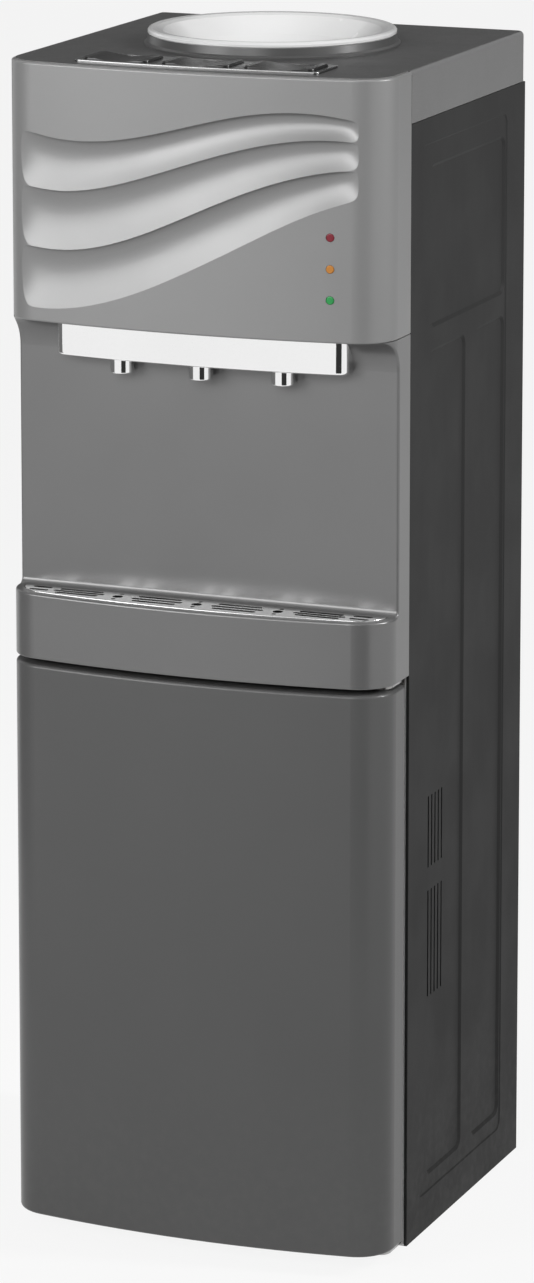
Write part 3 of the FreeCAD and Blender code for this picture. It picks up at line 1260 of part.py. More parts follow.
def make_hinge_brackets():
    """The brackets above and below the door."""
    top = DOOR_TOP + BRACKET_GAP
    low = DOOR_BOTTOM - BRACKET_GAP - BRACKET
    upper = hinge_bracket(top, top + BRACKET - BRACKET_LEG, DOOR_TOP - BUSH_LENGTH + 1, top + BRACKET)
    lower = hinge_bracket(low, low, low, DOOR_BOTTOM + BUSH_LENGTH - 1)
    return Part.makeCompound([upper, lower])


# ---- inner plates, tanks and cooling circuit ----
def cut_risers(plate, z0, z1):
    """Holes for the two copper pipes that rise at the sides."""
    for side in (-1, 1):
        plate = plate.cut(cylinder(PIPE_R + PIPE_GAP, side * RISER_X, RISER_Y, z0, z1))
    return plate


def make_mid_deck():
    """Plate between the cabinet and the tanks, with holes for the drain hose and the copper pipes."""
    plate = box(-PLATE_HALF, PLATE_HALF, SEAM_Y + SHEET + FIT, INNER_BACK, DECK_PLATE_Z, MID_TOP)
    plate = plate.cut(cylinder(HOSE_R + PIPE_GAP, DRAIN_X, DRAIN_HOSE_Y, MID_TOP - 5, MID_TOP + 5))
    return cut_risers(plate, MID_TOP - 5, MID_TOP + 5)


def make_tank_shelf():
    """Folded plate that stands on the mid deck and carries the cold tank in its foam."""
    y0 = SEAM_Y + SHEET + FIT
    shelf = box(-PLATE_HALF, PLATE_HALF, y0, INNER_BACK, MID_TOP, TANK_SHELF_TOP)
    shelf = shelf.cut(box(-PLATE_HALF + SHEET, PLATE_HALF - SHEET, y0 - 1, INNER_BACK + 1, MID_TOP - 1,
                          TANK_SHELF_TOP - SHEET))
    z0, z1 = TANK_SHELF_TOP - 5, TANK_SHELF_TOP + 5
    hole_r = HOSE_R + PIPE_GAP
    shelf = shelf.cut(cylinder(NECK_R + HOSE_WALL + PIPE_GAP, SUPPLY_X, SUPPLY_Y, z0, z1))
    notch = box(HOT_TANK_X - hole_r, HOT_TANK_X + hole_r, y0 - 1, HOT_HOSE_Y + hole_r, z0, z1)
    return cut_risers(shelf.cut(notch), z0, z1)


def make_cold_tank():
    """Steel tank for chilled water, with an inlet in its lid."""
    t, r = TANK_WALL, COLD_TANK_EDGE_R
    tank = cylinder(COLD_TANK_R, 0, SEAT_Y, COLD_TANK_BOTTOM, COLD_TANK_TOP)
    tank = round_level(tank, r, COLD_TANK_BOTTOM)
    void = cylinder(COLD_TANK_R - t, 0, SEAT_Y, COLD_TANK_BOTTOM + t, COLD_TANK_TOP - t)
    void = round_level(void, r - t, COLD_TANK_BOTTOM + t)
    return tank.cut(void).cut(cylinder(INLET_R, 0, SEAT_Y, COLD_TANK_TOP - 3, COLD_TANK_TOP + 1))


def make_evaporator():
    """Wound cooling tube round the cold tank, as a sleeve of the winding's size."""
    inner = COLD_TANK_R + FIT
    return sleeve(inner + COIL_DIAMETER, inner, 0, SEAT_Y, COIL_BOTTOM, COIL_TOP)


def make_cold_foam():
    """Foam block round the cold tank and its winding."""
    foam = box(-FOAM_HALF, FOAM_HALF, FOAM_FRONT, FOAM_BACK, TANK_SHELF_TOP, FOAM_TOP)
    foam = round_upright(foam, FOAM_CORNER_R)
    foam = foam.cut(cylinder(COLD_TANK_R + FIT, 0, SEAT_Y, COLD_TANK_BOTTOM, COLD_TANK_TOP + FIT))
    foam = foam.cut(cylinder(COLD_TANK_R + 2 * FIT + COIL_DIAMETER, 0, SEAT_Y, COIL_BOTTOM, COIL_TOP + FIT))
    foam = foam.cut(cylinder(INLET_R, 0, SEAT_Y, COLD_TANK_TOP - 3, FOAM_TOP + 1))
    supply_r = NECK_R + HOSE_WALL + FIT
    return foam.cut(cylinder(supply_r, SUPPLY_X, SUPPLY_Y, TANK_SHELF_TOP - 1, COLD_TANK_BOTTOM + 1))


def make_hot_tank():
    """Steel tank for hot water, with a foot and an inlet neck."""
    t = TANK_WALL
    x, y = HOT_TANK_X, HOT_TANK_Y
    tank = round_level(cylinder(HOT_TANK_R, x, y, HOT_TANK_BOTTOM, HOT_TANK_TOP), HOT_TANK_TOP_R, HOT_TANK_TOP)
    tank = round_level(tank, HOT_TANK_FOOT_R, HOT_TANK_BOTTOM)
    void = cylinder(HOT_TANK_R - t, x, y, HOT_TANK_BOTTOM + t, HOT_TANK_TOP - t)
    void = round_level(void, HOT_TANK_TOP_R - t, HOT_TANK_TOP - t)
    void = round_level(void, HOT_TANK_FOOT_R - t, HOT_TANK_BOTTOM + t)
    neck = cylinder(NECK_R, SUPPLY_X, SUPPLY_Y, HOT_TANK_TOP - t / 2, HOT_TANK_TOP + NECK_RISE)
    foot = cylinder(HOT_FOOT_R, x, y, MID_TOP, HOT_TANK_BOTTOM + t / 2)
    tank = tank.cut(void).fuse(neck).fuse(foot)
    return tank.cut(cylinder(NECK_R - 2, SUPPLY_X, SUPPLY_Y, HOT_TANK_TOP - 3, HOT_TANK_TOP + NECK_RISE + 1))


def make_hot_jacket():
    """Insulating jacket round the hot tank, with holes for its two hoses and flats for the thermostats."""
    x, y, r = HOT_TANK_X, HOT_TANK_Y, HOT_TANK_R + HOT_JACKET
    jacket = sleeve(r, HOT_TANK_R + FIT, x, y, MID_TOP, HOT_TANK_TOP - JACKET_DROP)
    jacket = jacket.cut(rod_back(HOSE_R + FIT, x, HOT_OUTLET_Z, y - r - 1, y))
    jacket = jacket.cut(rod_back(HOSE_R + FIT, x, DRAIN_OUTLET_Z, y, y + r + 1))
    for lift in THERMOSTAT_LIFTS:
        z = HOT_TANK_BOTTOM + lift
        jacket = jacket.cut(box(x - r, x + r, y - r - 1, y - r + THERMOSTAT_SEAT, z - THERMOSTAT_R - 2,
                                z + THERMOSTAT_R + 2))
    return jacket


def make_thermostats():
    """Two disc thermostats clipped to the hot tank's jacket."""
    discs = []
    x = HOT_TANK_X
    back = HOT_TANK_Y - HOT_TANK_R - HOT_JACKET + THERMOSTAT_SEAT
    front = back - THERMOSTAT_THICK
    for lift in THERMOSTAT_LIFTS:
        z = HOT_TANK_BOTTOM + lift
        disc = rod_back(THERMOSTAT_R, x, z, front, back)
        for side in (-1, 1):
            blade = x + side * TERMINAL_OFFSET
            disc = disc.fuse(box(blade - 1.5, blade + 1.5, front - TERMINAL_LENGTH, front + LAP, z - 0.5, z + 0.5))
        discs.append(disc)
    return Part.makeCompound(discs)


def make_water_hoses():
    """Soft hoses: one from each tap, one between the tanks and one to the drain."""
    bore = BARB_R + HOSE_GRIP
    hoses = []
    for name, x, y in tap_positions():
        start = y + TAP_BODY_R + 3
        if name == "hot":
            route = [(x, start, BARB_Z), (x, HOT_HOSE_Y, BARB_Z), (x, HOT_HOSE_Y, HOT_OUTLET_Z),
                     (x, HOT_TANK_Y - HOT_TANK_R - HOSE_GRIP, HOT_OUTLET_Z)]
            hoses.append(tube(route, HOSE_R, HOSE_BEND, bore))
        else:
            hose = rod_back(HOSE_R, x, BARB_Z, start, FOAM_FRONT)
            hoses.append(hose.cut(rod_back(bore, x, BARB_Z, start - 1, FOAM_FRONT + 1)))
    hoses.append(sleeve(NECK_R + HOSE_WALL, NECK_R + HOSE_GRIP, SUPPLY_X, SUPPLY_Y, HOT_TANK_TOP + 1,
                        COLD_TANK_BOTTOM))
    drain = [(HOT_TANK_X, HOT_TANK_Y + HOT_TANK_R + HOSE_GRIP, DRAIN_OUTLET_Z),
             (HOT_TANK_X, DRAIN_HOSE_Y, DRAIN_OUTLET_Z), (DRAIN_X, DRAIN_HOSE_Y, DRAIN_OUTLET_Z),
             (DRAIN_X, DRAIN_HOSE_Y, OUTLET_HEIGHT), (DRAIN_X, BACK_FACE - DRAIN_INNER, OUTLET_HEIGHT)]
    hoses.append(tube(drain, HOSE_R, HOSE_BEND, bore))
    return Part.makeCompound(hoses)


def grommet_places():
    """Centres of the compressor's rubber mounts."""
    for side_x in (-1, 1):
        for side_y in (-1, 1):
            yield COMPRESSOR_X + side_x * GROMMET_X, COMPRESSOR_Y + side_y * GROMMET_Y


def pipe_stub(side):
    """Where the suction (front, -1) or discharge (rear, 1) pipe leaves the compressor's dome."""
    return COMPRESSOR_X + STUB_X, COMPRESSOR_Y + side * STUB_Y


def make_compressor():
    """Hermetic compressor: domed shell with a weld flange, foot plate, terminal box and pipe stubs."""
    x, y = COMPRESSOR_X, COMPRESSOR_Y
    low, top, r = COMPRESSOR_FLOOR, COMPRESSOR_TOP, COMPRESSOR_R
    outline = [
        (0.0, low + 5), (0.62 * r, low + 6), (0.88 * r, low + 14), (0.98 * r, low + 30), (0.98 * r, low + 70),
        (r + 2.5, low + 71), (r + 2.5, low + 75), (0.98 * r, low + 76), (0.98 * r, top - 38), (0.90 * r, top - 18),
        (0.66 * r, top - 4), (0.34 * r, top - 0.5), (0.0, top),
    ]
    shell = revolve(outline, x, y)
    plate = box(x - GROMMET_X - 14, x + GROMMET_X + 14, y - GROMMET_Y - 12, y + GROMMET_Y + 12, low, low + 3)
    plate = round_upright(plate, 12.0)
    for px, py in grommet_places():
        plate = plate.cut(cylinder(GROMMET_NECK_R + FIT, px, py, low - 1, low + 4))
    neck = cylinder(0.6 * r, x, y, low + 2.5, low + 8)
    terminals = box(x + 0.9 * r, x + 0.9 * r + 22, y - 20, y + 20, low + 40, low + 66)
    body = shell.fuse(plate).fuse(neck).fuse(terminals)
    for side in (-1, 1):
        body = body.fuse(cylinder(PIPE_R + 1.5, *pipe_stub(side), top - 14, top + STUB_HEIGHT))
    return body


def make_grommets():
    """Rubber mounts between the compressor's plate and the base."""
    grommets = []
    for x, y in grommet_places():
        grommet = cylinder(GROMMET_R, x, y, BASE + SHEET, COMPRESSOR_FLOOR)
        grommets.append(grommet.fuse(cylinder(GROMMET_NECK_R, x, y, COMPRESSOR_FLOOR - LAP, COMPRESSOR_FLOOR + 6)))
    return Part.makeCompound(grommets)


def make_condenser():
    """Wire-on-tube condenser on the back: one bent pipe with upright wires, on four standoffs."""
    y, reach, last = CONDENSER_Y, CONDENSER_X, CONDENSER_ROWS - 1
    points = [(-reach, y, CONDENSER_FOOT)]
    for row in range(CONDENSER_ROWS):
        z = CONDENSER_FLOOR + row * CONDENSER_PITCH
        side = 1 if row % 2 == 0 else -1
        near = -side * (reach if row == 0 else reach - CONDENSER_INNER)
        far = side * (reach if row == last else reach - CONDENSER_INNER)
        points += [(near, y, z), (far, y, z)]
    points.append((reach, y, CONDENSER_FOOT))
    parts = [tube(points, PIPE_R, CONDENSER_BEND)]
    low = CONDENSER_FLOOR - WIRE_OVERLAP
    high = CONDENSER_FLOOR + last * CONDENSER_PITCH + WIRE_OVERLAP
    count = int(2 * (reach - 2 * CONDENSER_INNER) / WIRE_PITCH)
    for i in range(count + 1):
        x = (i - count / 2) * WIRE_PITCH
        parts.append(cylinder(WIRE_R, x, y + PIPE_R + WIRE_R - 0.15, low, high))
    for x in (-STANDOFF_X, STANDOFF_X):
        for row in (1, last - 1):
            parts.append(rod_back(STANDOFF_R, x, CONDENSER_FLOOR + row * CONDENSER_PITCH, BACK_FACE, y - 0.5))
    return parts[0].multiFuse(parts[1:])


def make_filter_drier():
    """Filter drier in the compressor's bay."""
    low, high, neck, r = DRIER_FLOOR, DRIER_FLOOR + DRIER_LENGTH, DRIER_NECK_R, DRIER_R
    outline = [(0, low), (neck, low), (neck, low + 12), (r, low + 22), (r, high - 22), (neck, high - 12),
               (neck, high), (0, high)]
    return revolve(outline, DRIER_X, RISER_Y)


def make_refrigerant_lines():
    """Copper pipes between compressor, condenser, drier and the cold tank's winding."""
    suction, discharge = pipe_stub(-1), pipe_stub(1)
    stub = COMPRESSOR_TOP + STUB_HEIGHT
    level = stub + LINE_RISE
    raised = level + LINE_STEP
    coil_z = (COIL_BOTTOM + COIL_TOP) / 2
    inlet_z = coil_z - 20.0
    liquid_z = CONDENSER_FOOT - LIQUID_DROP
    low = DRIER_FLOOR - CAPILLARY_DROP
    routes = [
        ([(*discharge, stub), (*discharge, raised), (-CONDENSER_X, discharge[1], raised),
          (-CONDENSER_X, CONDENSER_Y, raised), (-CONDENSER_X, CONDENSER_Y, CONDENSER_FOOT)], PIPE_R),
        ([(*suction, stub), (*suction, level), (-RISER_X, suction[1], level), (-RISER_X, RISER_Y, level),
          (-RISER_X, RISER_Y, coil_z), (-50, RISER_Y, coil_z), (-50, FOAM_BACK, coil_z)], PIPE_R),
        ([(CONDENSER_X, CONDENSER_Y, CONDENSER_FOOT), (CONDENSER_X, CONDENSER_Y, liquid_z),
          (DRIER_X, RISER_Y, liquid_z), (DRIER_X, RISER_Y, DRIER_FLOOR + DRIER_LENGTH)], PIPE_R),
        ([(DRIER_X, RISER_Y, DRIER_FLOOR), (DRIER_X, RISER_Y, low), (RISER_X, RISER_Y, low),
          (RISER_X, RISER_Y, inlet_z), (50, RISER_Y, inlet_z), (50, FOAM_BACK, inlet_z)], CAPILLARY_R),
    ]
    return Part.makeCompound([tube(points, radius, PIPE_BEND) for points, radius in routes])


def build_nodes():
    """Every piece of the cooler by its node name."""
    nodes = {
        "base_plate": make_base_plate(),
        "feet": make_feet(),
        "side_panel_left": make_side_panel(-1),
        "side_panel_right": make_side_panel(1),
        "back_panel": make_back_panel(),
        "panel_screws": make_panel_screws(),
        "top_cover": make_top_cover(),
        "upper_front_panel": make_upper_front_panel(),
        "dispensing_panel": make_dispensing_panel(),
        "tap_fascia": make_tap_fascia(),
        "tap_spouts": make_tap_spouts(),
        "button_bezel": make_button_bezel(),
        "collar_ring": make_collar_ring(),
        "bottle_seat": make_bottle_seat(),
        "bottle_probe": make_bottle_probe(),
        "indicator_board": make_indicator_board(),
        "drip_tray": make_drip_tray(),
        "drip_grille": make_drip_grille(),
        "switch_plate": make_switch_plate(),
        "cable_gland": make_cable_gland(),
        "drain_fitting": make_drain_fitting(),
        "drain_cap": make_drain_cap(),
        "cabinet_liner": make_cabinet_liner(),
        "wire_shelf": make_wire_shelf(),
        "door_panel": make_door_panel(),
        "door_liner": make_door_liner(),
        "door_gasket": make_door_gasket(),
        "door_bushes": make_door_bushes(),
        "hinge_brackets": make_hinge_brackets(),
        "mid_deck": make_mid_deck(),
        "tank_shelf": make_tank_shelf(),
        "cold_tank": make_cold_tank(),
        "evaporator_winding": make_evaporator(),
        "cold_tank_foam": make_cold_foam(),
        "hot_tank": make_hot_tank(),
        "hot_tank_jacket": make_hot_jacket(),
        "thermostats": make_thermostats(),
        "water_hoses": make_water_hoses(),
        "compressor": make_compressor(),
        "compressor_grommets": make_grommets(),
        "condenser": make_condenser(),
        "filter_drier": make_filter_drier(),
        "refrigerant_lines": make_refrigerant_lines(),
    }
    for name, x in zip(("rocker_heating", "rocker_cooling"), switch_places()):
        nodes[name] = make_rocker(x)
    for name in LAMP_RISES:
        nodes["lamp_" + name] = make_lamp(lamp_height(name))
    for name, x, y in tap_positions():
        nodes["button_" + name] = make_button(x, y)
        nodes["push_rod_" + name] = make_push_rod(x, y)
        nodes["button_spring_" + name] = make_button_spring(x, y)
        nodes["tap_body_" + name] = make_tap_body(x, y)
    return nodes


def main():
    """Builds every piece, says whether it is sound and writes it."""
    os.makedirs("parts", exist_ok=True)
    nodes = build_nodes()
    for name in sorted(nodes):
        shape = nodes[name]
        solids = shape.Solids
        state = "ok" if shape.isValid() and solids and all(s.Volume > 0 for s in solids) else "BAD"
        print(f"{name:24s} solids {len(solids):3d} volume {shape.Volume / 1000:10.2f} cm3 {state}")
        whole = solids[0] if len(solids) == 1 else Part.makeCompound(solids)
        whole.exportStep(os.path.join("parts", name + ".step"))
    print(len(nodes), "nodes")


main()
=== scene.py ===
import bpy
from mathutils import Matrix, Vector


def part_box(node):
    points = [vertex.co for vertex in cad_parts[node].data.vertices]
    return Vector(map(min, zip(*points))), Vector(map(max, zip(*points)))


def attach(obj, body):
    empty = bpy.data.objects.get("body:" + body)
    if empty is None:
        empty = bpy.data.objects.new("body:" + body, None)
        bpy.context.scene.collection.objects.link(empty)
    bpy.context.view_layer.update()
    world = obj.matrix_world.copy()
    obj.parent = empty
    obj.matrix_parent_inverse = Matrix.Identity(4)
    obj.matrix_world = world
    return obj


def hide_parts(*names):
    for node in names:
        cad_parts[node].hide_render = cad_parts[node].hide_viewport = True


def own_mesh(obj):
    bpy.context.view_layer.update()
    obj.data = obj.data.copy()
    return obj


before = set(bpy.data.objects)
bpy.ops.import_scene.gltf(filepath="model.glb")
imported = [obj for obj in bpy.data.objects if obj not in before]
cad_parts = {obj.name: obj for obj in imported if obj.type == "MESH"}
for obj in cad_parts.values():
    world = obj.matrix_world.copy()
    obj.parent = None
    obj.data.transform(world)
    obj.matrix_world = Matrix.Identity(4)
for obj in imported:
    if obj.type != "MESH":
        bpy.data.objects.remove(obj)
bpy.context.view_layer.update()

# Looks for the bottled water cooler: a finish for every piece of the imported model, wound springs and
# a wound cooling tube in place of their plain sleeves, and the floor, the lamps and the camera.
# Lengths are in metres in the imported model's frame, with the front facing -Y and +Z up.

import logging
import math
from dataclasses import dataclass, field
from enum import Enum
from typing import Any, Iterable, Sequence, Union

import bmesh
import bpy
from mathutils import Matrix, Vector

LOG = logging.getLogger("cooler")
IMAGE_HEIGHT = 1283
MM = 0.001
TAPS = ("hot", "room", "cold")

Colour = tuple[float, float, float]
Point = tuple[float, float, float]

PLAIN_WHITE = (1.0, 1.0, 1.0, 1.0)


def grey(level: float, tint: float = 0.0) -> Colour:
    """Linear colour of a grey given as a display level from 0 to 255, warmer with tint.

    Args:
        level: Display level.
        tint: Share by which red rises and blue falls.

    Returns:
        The colour as it goes into a shader.
    """
    share = level / 255
    linear = ((share + 0.055) / 1.055) ** 2.4 if share > 0.04045 else share / 12.92
    return (linear * (1 + tint), linear, linear * (1 - tint))


def scaled(colour: Colour, factor: float) -> Colour:
    """The colour made lighter or darker by a factor."""
    return (colour[0] * factor, colour[1] * factor, colour[2] * factor)


# ---- shader maths ----
class Signal:
    """A shader socket that takes part in sums; each sum adds its Math node."""

    def __init__(self, tree: "MaterialTree", socket: bpy.types.NodeSocket) -> None:
        """Keeps the socket and the tree that holds it."""
        self.tree = tree
        self.socket = socket

    def _math(self, operation: str, first: "Value", second: "Value") -> "Signal":
        """One Math node over two values."""
        return self.tree.node("ShaderNodeMath", {"operation": operation}, {0: first, 1: second})

    def __add__(self, other: "Value") -> "Signal":
        """Sum."""
        return self._math("ADD", self, other)

    __radd__ = __add__

    def __rsub__(self, other: "Value") -> "Signal":
        """Difference from a plain number."""
        return self._math("SUBTRACT", other, self)

    def __mul__(self, other: "Value") -> "Signal":
        """Product."""
        return self._math("MULTIPLY", self, other)

    __rmul__ = __mul__

    def between(self, low: float, high: float) -> "Signal":
        """Runs smoothly from 0 at low to 1 at high, and stays there.

        Args:
            low: Value that gives 0.
            high: Value that gives 1.

        Returns:
            The eased share.
        """
        settings = {"interpolation_type": "SMOOTHSTEP", "clamp": True}
        return self.tree.node("ShaderNodeMapRange", settings, {0: self, 1: low, 2: high, 3: 0.0, 4: 1.0})


Value = Union[Signal, float, Sequence[float]]


class MaterialTree:
    """The nodes of one material or of the world."""

    def __init__(self, owner: Any) -> None:
        """Switches nodes on and empties them.

        Args:
            owner: The material or the world.
        """
        owner.use_nodes = True
        self.nodes = owner.node_tree.nodes
        self.links = owner.node_tree.links
        self.nodes.clear()

    def node(self, kind: str, settings: dict[str, Any], values: dict[Any, Value], out: Any = 0) -> Signal:
        """Adds one node.

        Args:
            kind: Blender's name of the node's type.
            settings: Its properties, which are set first.
            values: What goes into its sockets, as numbers or signals.
            out: Which output the signal comes from.

        Returns:
            The signal of that output, or of the first input where the node has no output.
        """
        made = self.nodes.new(kind)
        for key, value in settings.items():
            setattr(made, key, value)
        for key, value in values.items():
            if isinstance(value, Signal):
                self.links.new(value.socket, made.inputs[key])
            else:
                made.inputs[key].default_value = value
        source = made.outputs[out] if len(made.outputs) else made.inputs[0]
        return Signal(self, source)

    def place(self, stretch: Point = (1.0, 1.0, 1.0)) -> Signal:
        """The point on the object, in metres, stretched along its axes."""
        point = self.node("ShaderNodeTexCoord", {}, {}, "Object")
        return self.node("ShaderNodeVectorMath", {"operation": "MULTIPLY"}, {0: point, 1: stretch})

    def noise(self, scale: float, detail: float = 2.0, stretch: Point = (1.0, 1.0, 1.0)) -> Signal:
        """Cloudy noise.

        Args:
            scale: Spots per metre.
            detail: Number of finer layers.
            stretch: How the spots are squeezed along each axis.

        Returns:
            A signal round 0.5.
        """
        values = {"Vector": self.place(stretch), "Scale": scale, "Detail": detail}
        return self.node("ShaderNodeTexNoise", {}, values, "Fac")

    def cells(self, scale: float, out: str = "Distance") -> Signal:
        """Cell pattern: the distance to the nearest centre, or a colour for each cell."""
        return self.node("ShaderNodeTexVoronoi", {}, {"Vector": self.place(), "Scale": scale}, out)

    def blend(self, share: Value, first: Value, second: Value) -> Signal:
        """Mixes two colours.

        Args:
            share: How much of the second colour shows.
            first: The colour at a share of 0.
            second: The colour at a share of 1.

        Returns:
            The mixed colour.
        """
        def padded(value: Value) -> Value:
            """A plain colour with its alpha."""
            return value if isinstance(value, Signal) else (*value, 1.0)
        values = {0: share, 6: padded(first), 7: padded(second)}
        return self.node("ShaderNodeMix", {"data_type": "RGBA"}, values, 2)

    def height(self) -> Signal:
        """The point's height over the floor."""
        return self.node("ShaderNodeSeparateXYZ", {}, {0: self.place()}, "Z")

    def facing_up(self) -> Signal:
        """How far the surface faces up."""
        normal = self.node("ShaderNodeNewGeometry", {}, {}, "Normal")
        return self.node("ShaderNodeSeparateXYZ", {}, {0: normal}, "Z")


def mixed(main: Signal, other: Signal, share: float) -> Signal:
    """Two signals in one, by the main one's share."""
    return main * share + other * (1 - share)


# ---- finishes ----
# Marks per metre of the patterns that every finish shares, and how far some of them are drawn out.
DRIFT_MARKS = 9.0
PATINA_MARKS = 38.0
DUST_MARKS = 120.0
SMUDGE_MARKS = 14.0
STREAK_MARKS = 60.0
UPRIGHT = (1.0, 1.0, 0.15)
LENGTHWISE = (0.03, 1.0, 1.0)
FINE_LENGTHWISE = (0.02, 1.0, 1.0)

# How light the marks in a colour are, over the colour itself.
SPECK_LIFT = 1.5
DOT_LIFT = 2.2
FLAKE_SHADE = 0.62

# Dust, with the height over the floor that it reaches on upright faces.
DUST_COLOUR = grey(176, 0.04)
DUST_REACH = 0.22

COAT_ROUGHNESS = 0.12


class Relief(Enum):
    """The fine relief of a surface."""

    SPARK = "fine even spark-eroded grain of a mould"
    PEBBLE = "pebbled grain of coated sheet"
    PEEL = "soft waviness of a glossy moulding or paint"
    BRUSHED = "fine scratches along one direction"
    SPANGLE = "crystal pattern of zinc"
    FOAM = "open cells"


@dataclass(frozen=True)
class Finish:
    """A surface finish, built as one material.

    Attributes:
        name: Name of the material.
        colour: Its main colour.
        roughness: Its mean roughness.
        relief: Which fine relief it has.
        size: Width of one mark of the relief.
        depth: Depth of the relief.
        metallic: 1 for bare metal.
        mottle: How far the colour drifts over the surface.
        smudge: How far the roughness drifts, as handling leaves it.
        coat: Weight of a clear coat.
        dust: How much dust lies low down and on faces that look up.
        patina: Colour that comes through in patches, or None.
        specular: Level of the surface's own reflection.
        speckle: How strongly light specks show.
        top_painted_shade: Painted shade: a darker colour for the faces that look up, or None.
    """

    name: str
    colour: Colour
    roughness: float
    relief: Relief = Relief.SPARK
    size: float = 0.6 * MM
    depth: float = 0.012 * MM
    metallic: float = 0.0
    mottle: float = 0.06
    smudge: float = 0.06
    coat: float = 0.0
    dust: float = 0.05
    patina: Colour | None = None
    specular: float = 0.35
    speckle: float = 0.0
    top_painted_shade: Colour | None = None

    def relief_signal(self, tree: MaterialTree) -> Signal:
        """The height of the fine relief, from 0 to 1.

        Args:
            tree: The material's nodes.

        Returns:
            The height.
        """
        marks = 1 / self.size
        if self.relief is Relief.PEBBLE:
            return mixed(tree.cells(marks).between(0.05, 0.75), tree.noise(marks * 2.2), 0.8)
        if self.relief is Relief.PEEL:
            return mixed(tree.noise(marks, 1.0), tree.noise(marks * 0.23, 0.0), 0.7)
        if self.relief is Relief.BRUSHED:
            return mixed(tree.noise(marks, 3.0, LENGTHWISE), tree.noise(marks * 2, 2.0, FINE_LENGTHWISE), 0.6)
        if self.relief is Relief.SPANGLE:
            return tree.noise(marks * 4, 3.0)
        if self.relief is Relief.FOAM:
            return mixed(tree.cells(marks), tree.noise(marks * 3, 2.0), 0.7)
        return tree.noise(marks, 3.0)

    def colour_signal(self, tree: MaterialTree) -> Signal:
        """Colour with its drift, painted shade on the faces that look up, patina and dust.

        Args:
            tree: The material's nodes.

        Returns:
            The colour over the surface.
        """
        drift = tree.noise(DRIFT_MARKS, 3.0).between(0.3, 0.7)
        deep = scaled(self.colour, 1 - self.mottle)
        light = scaled(self.colour, 1 + self.mottle)
        colour = tree.blend(drift, deep, light)
        # Painted shade: faces that look up take a darker colour, standing in for the shade that falls on
        # them.
        if self.top_painted_shade is not None:
            colour = tree.blend(tree.facing_up().between(0.80, 0.97), colour, self.top_painted_shade)
        speck = tree.noise(2.2 / self.size, 1.0).between(0.35, 0.75) * (1.5 * self.mottle)
        colour = tree.blend(speck, colour, scaled(self.colour, SPECK_LIFT))
        if self.speckle:
            dot = tree.noise(0.8 / self.size, 0.0).between(0.62, 0.74) * self.speckle
            colour = tree.blend(dot, colour, scaled(self.colour, DOT_LIFT))
        if self.relief is Relief.SPANGLE:
            crystals = tree.cells(0.12 / self.size, "Color")
            flake = tree.node("ShaderNodeSeparateColor", {}, {0: crystals}, 0)
            colour = tree.blend(flake * 0.35, colour, scaled(self.colour, FLAKE_SHADE))
        if self.patina is not None:
            patch = tree.noise(PATINA_MARKS, 5.0).between(0.48, 0.68) * 0.6
            colour = tree.blend(patch, colour, self.patina)
        low_down = 1 - tree.height().between(0.0, DUST_REACH)
        settled = mixed(low_down, tree.facing_up().between(0.7, 1.0), 0.6)
        dust = settled * tree.noise(DUST_MARKS, 5.0).between(0.35, 0.8) * self.dust
        return tree.blend(dust, colour, DUST_COLOUR)

    def material(self) -> bpy.types.Material:
        """Builds the material.

        Returns:
            The finished material.
        """
        made = bpy.data.materials.new(self.name)
        tree = MaterialTree(made)
        smudges = tree.noise(SMUDGE_MARKS, 4.0).between(0.35, 0.65)
        streaks = tree.noise(STREAK_MARKS, 3.0, UPRIGHT).between(0.4, 0.8)
        least = self.roughness - 0.6 * self.smudge
        rough = smudges * self.smudge + streaks * (0.4 * self.smudge) + least
        relief = {"Height": self.relief_signal(tree), "Distance": self.depth, "Strength": 1.0}
        bump = tree.node("ShaderNodeBump", {}, relief)
        values: dict[Any, Value] = {
            "Base Color": self.colour_signal(tree), "Roughness": rough, "Normal": bump,
            "Metallic": self.metallic, "Coat Weight": self.coat, "Coat Roughness": COAT_ROUGHNESS,
            "Specular IOR Level": self.specular,
        }
        shader = tree.node("ShaderNodeBsdfPrincipled", {}, values)
        tree.node("ShaderNodeOutputMaterial", {}, {"Surface": shader})
        return made


GRAPHITE_UPPER = Finish("graphite_upper", grey(130), 0.36, Relief.PEEL, 2.5 * MM, 0.005 * MM,
                        metallic=0.22, mottle=0.015, smudge=0.02, dust=0.03)
GRAPHITE_NICHE = Finish("graphite_niche", grey(112), 0.29, Relief.PEEL, 2.5 * MM, 0.005 * MM,
                        metallic=0.40, mottle=0.015, smudge=0.02, dust=0.03)
GRAPHITE_DOOR = Finish("graphite_door", grey(90), 0.30, Relief.PEEL, 2.5 * MM, 0.005 * MM, metallic=0.15,
                       specular=0.22, mottle=0.015, smudge=0.02, dust=0.04)
DARK_SIDE = Finish("pebbled_side_sheet", grey(45), 0.58, Relief.PEBBLE, 0.9 * MM, 0.02 * MM, mottle=0.05,
                   dust=0.06, specular=0.10)
# The deck's faces that look up get a darker colour, which is painted shade.
DECK_MOULDING = Finish("deck_moulding", grey(108), 0.45, Relief.SPARK, 0.5 * MM, 0.010 * MM, mottle=0.04,
                       dust=0.04, specular=0.22, speckle=0.35, top_painted_shade=grey(50))
COLLAR_MOULDING = Finish("collar_moulding", grey(66), 0.34, Relief.PEEL, 2.0 * MM, 0.006 * MM,
                         mottle=0.03)
SEAT_WHITE = Finish("seat_white", grey(200), 0.24, Relief.PEEL, 3.0 * MM, 0.008 * MM, mottle=0.015,
                    smudge=0.05, coat=0.3, dust=0.02)
LINER_WHITE = Finish("liner_white", grey(222), 0.36, Relief.PEEL, 4.0 * MM, 0.02 * MM, mottle=0.02,
                     dust=0.05)
BRIGHT_BAR = Finish("bright_plating", grey(248), 0.07, Relief.PEEL, 5.0 * MM, 0.003 * MM, metallic=1.0,
                    mottle=0.01, smudge=0.05, dust=0.01)
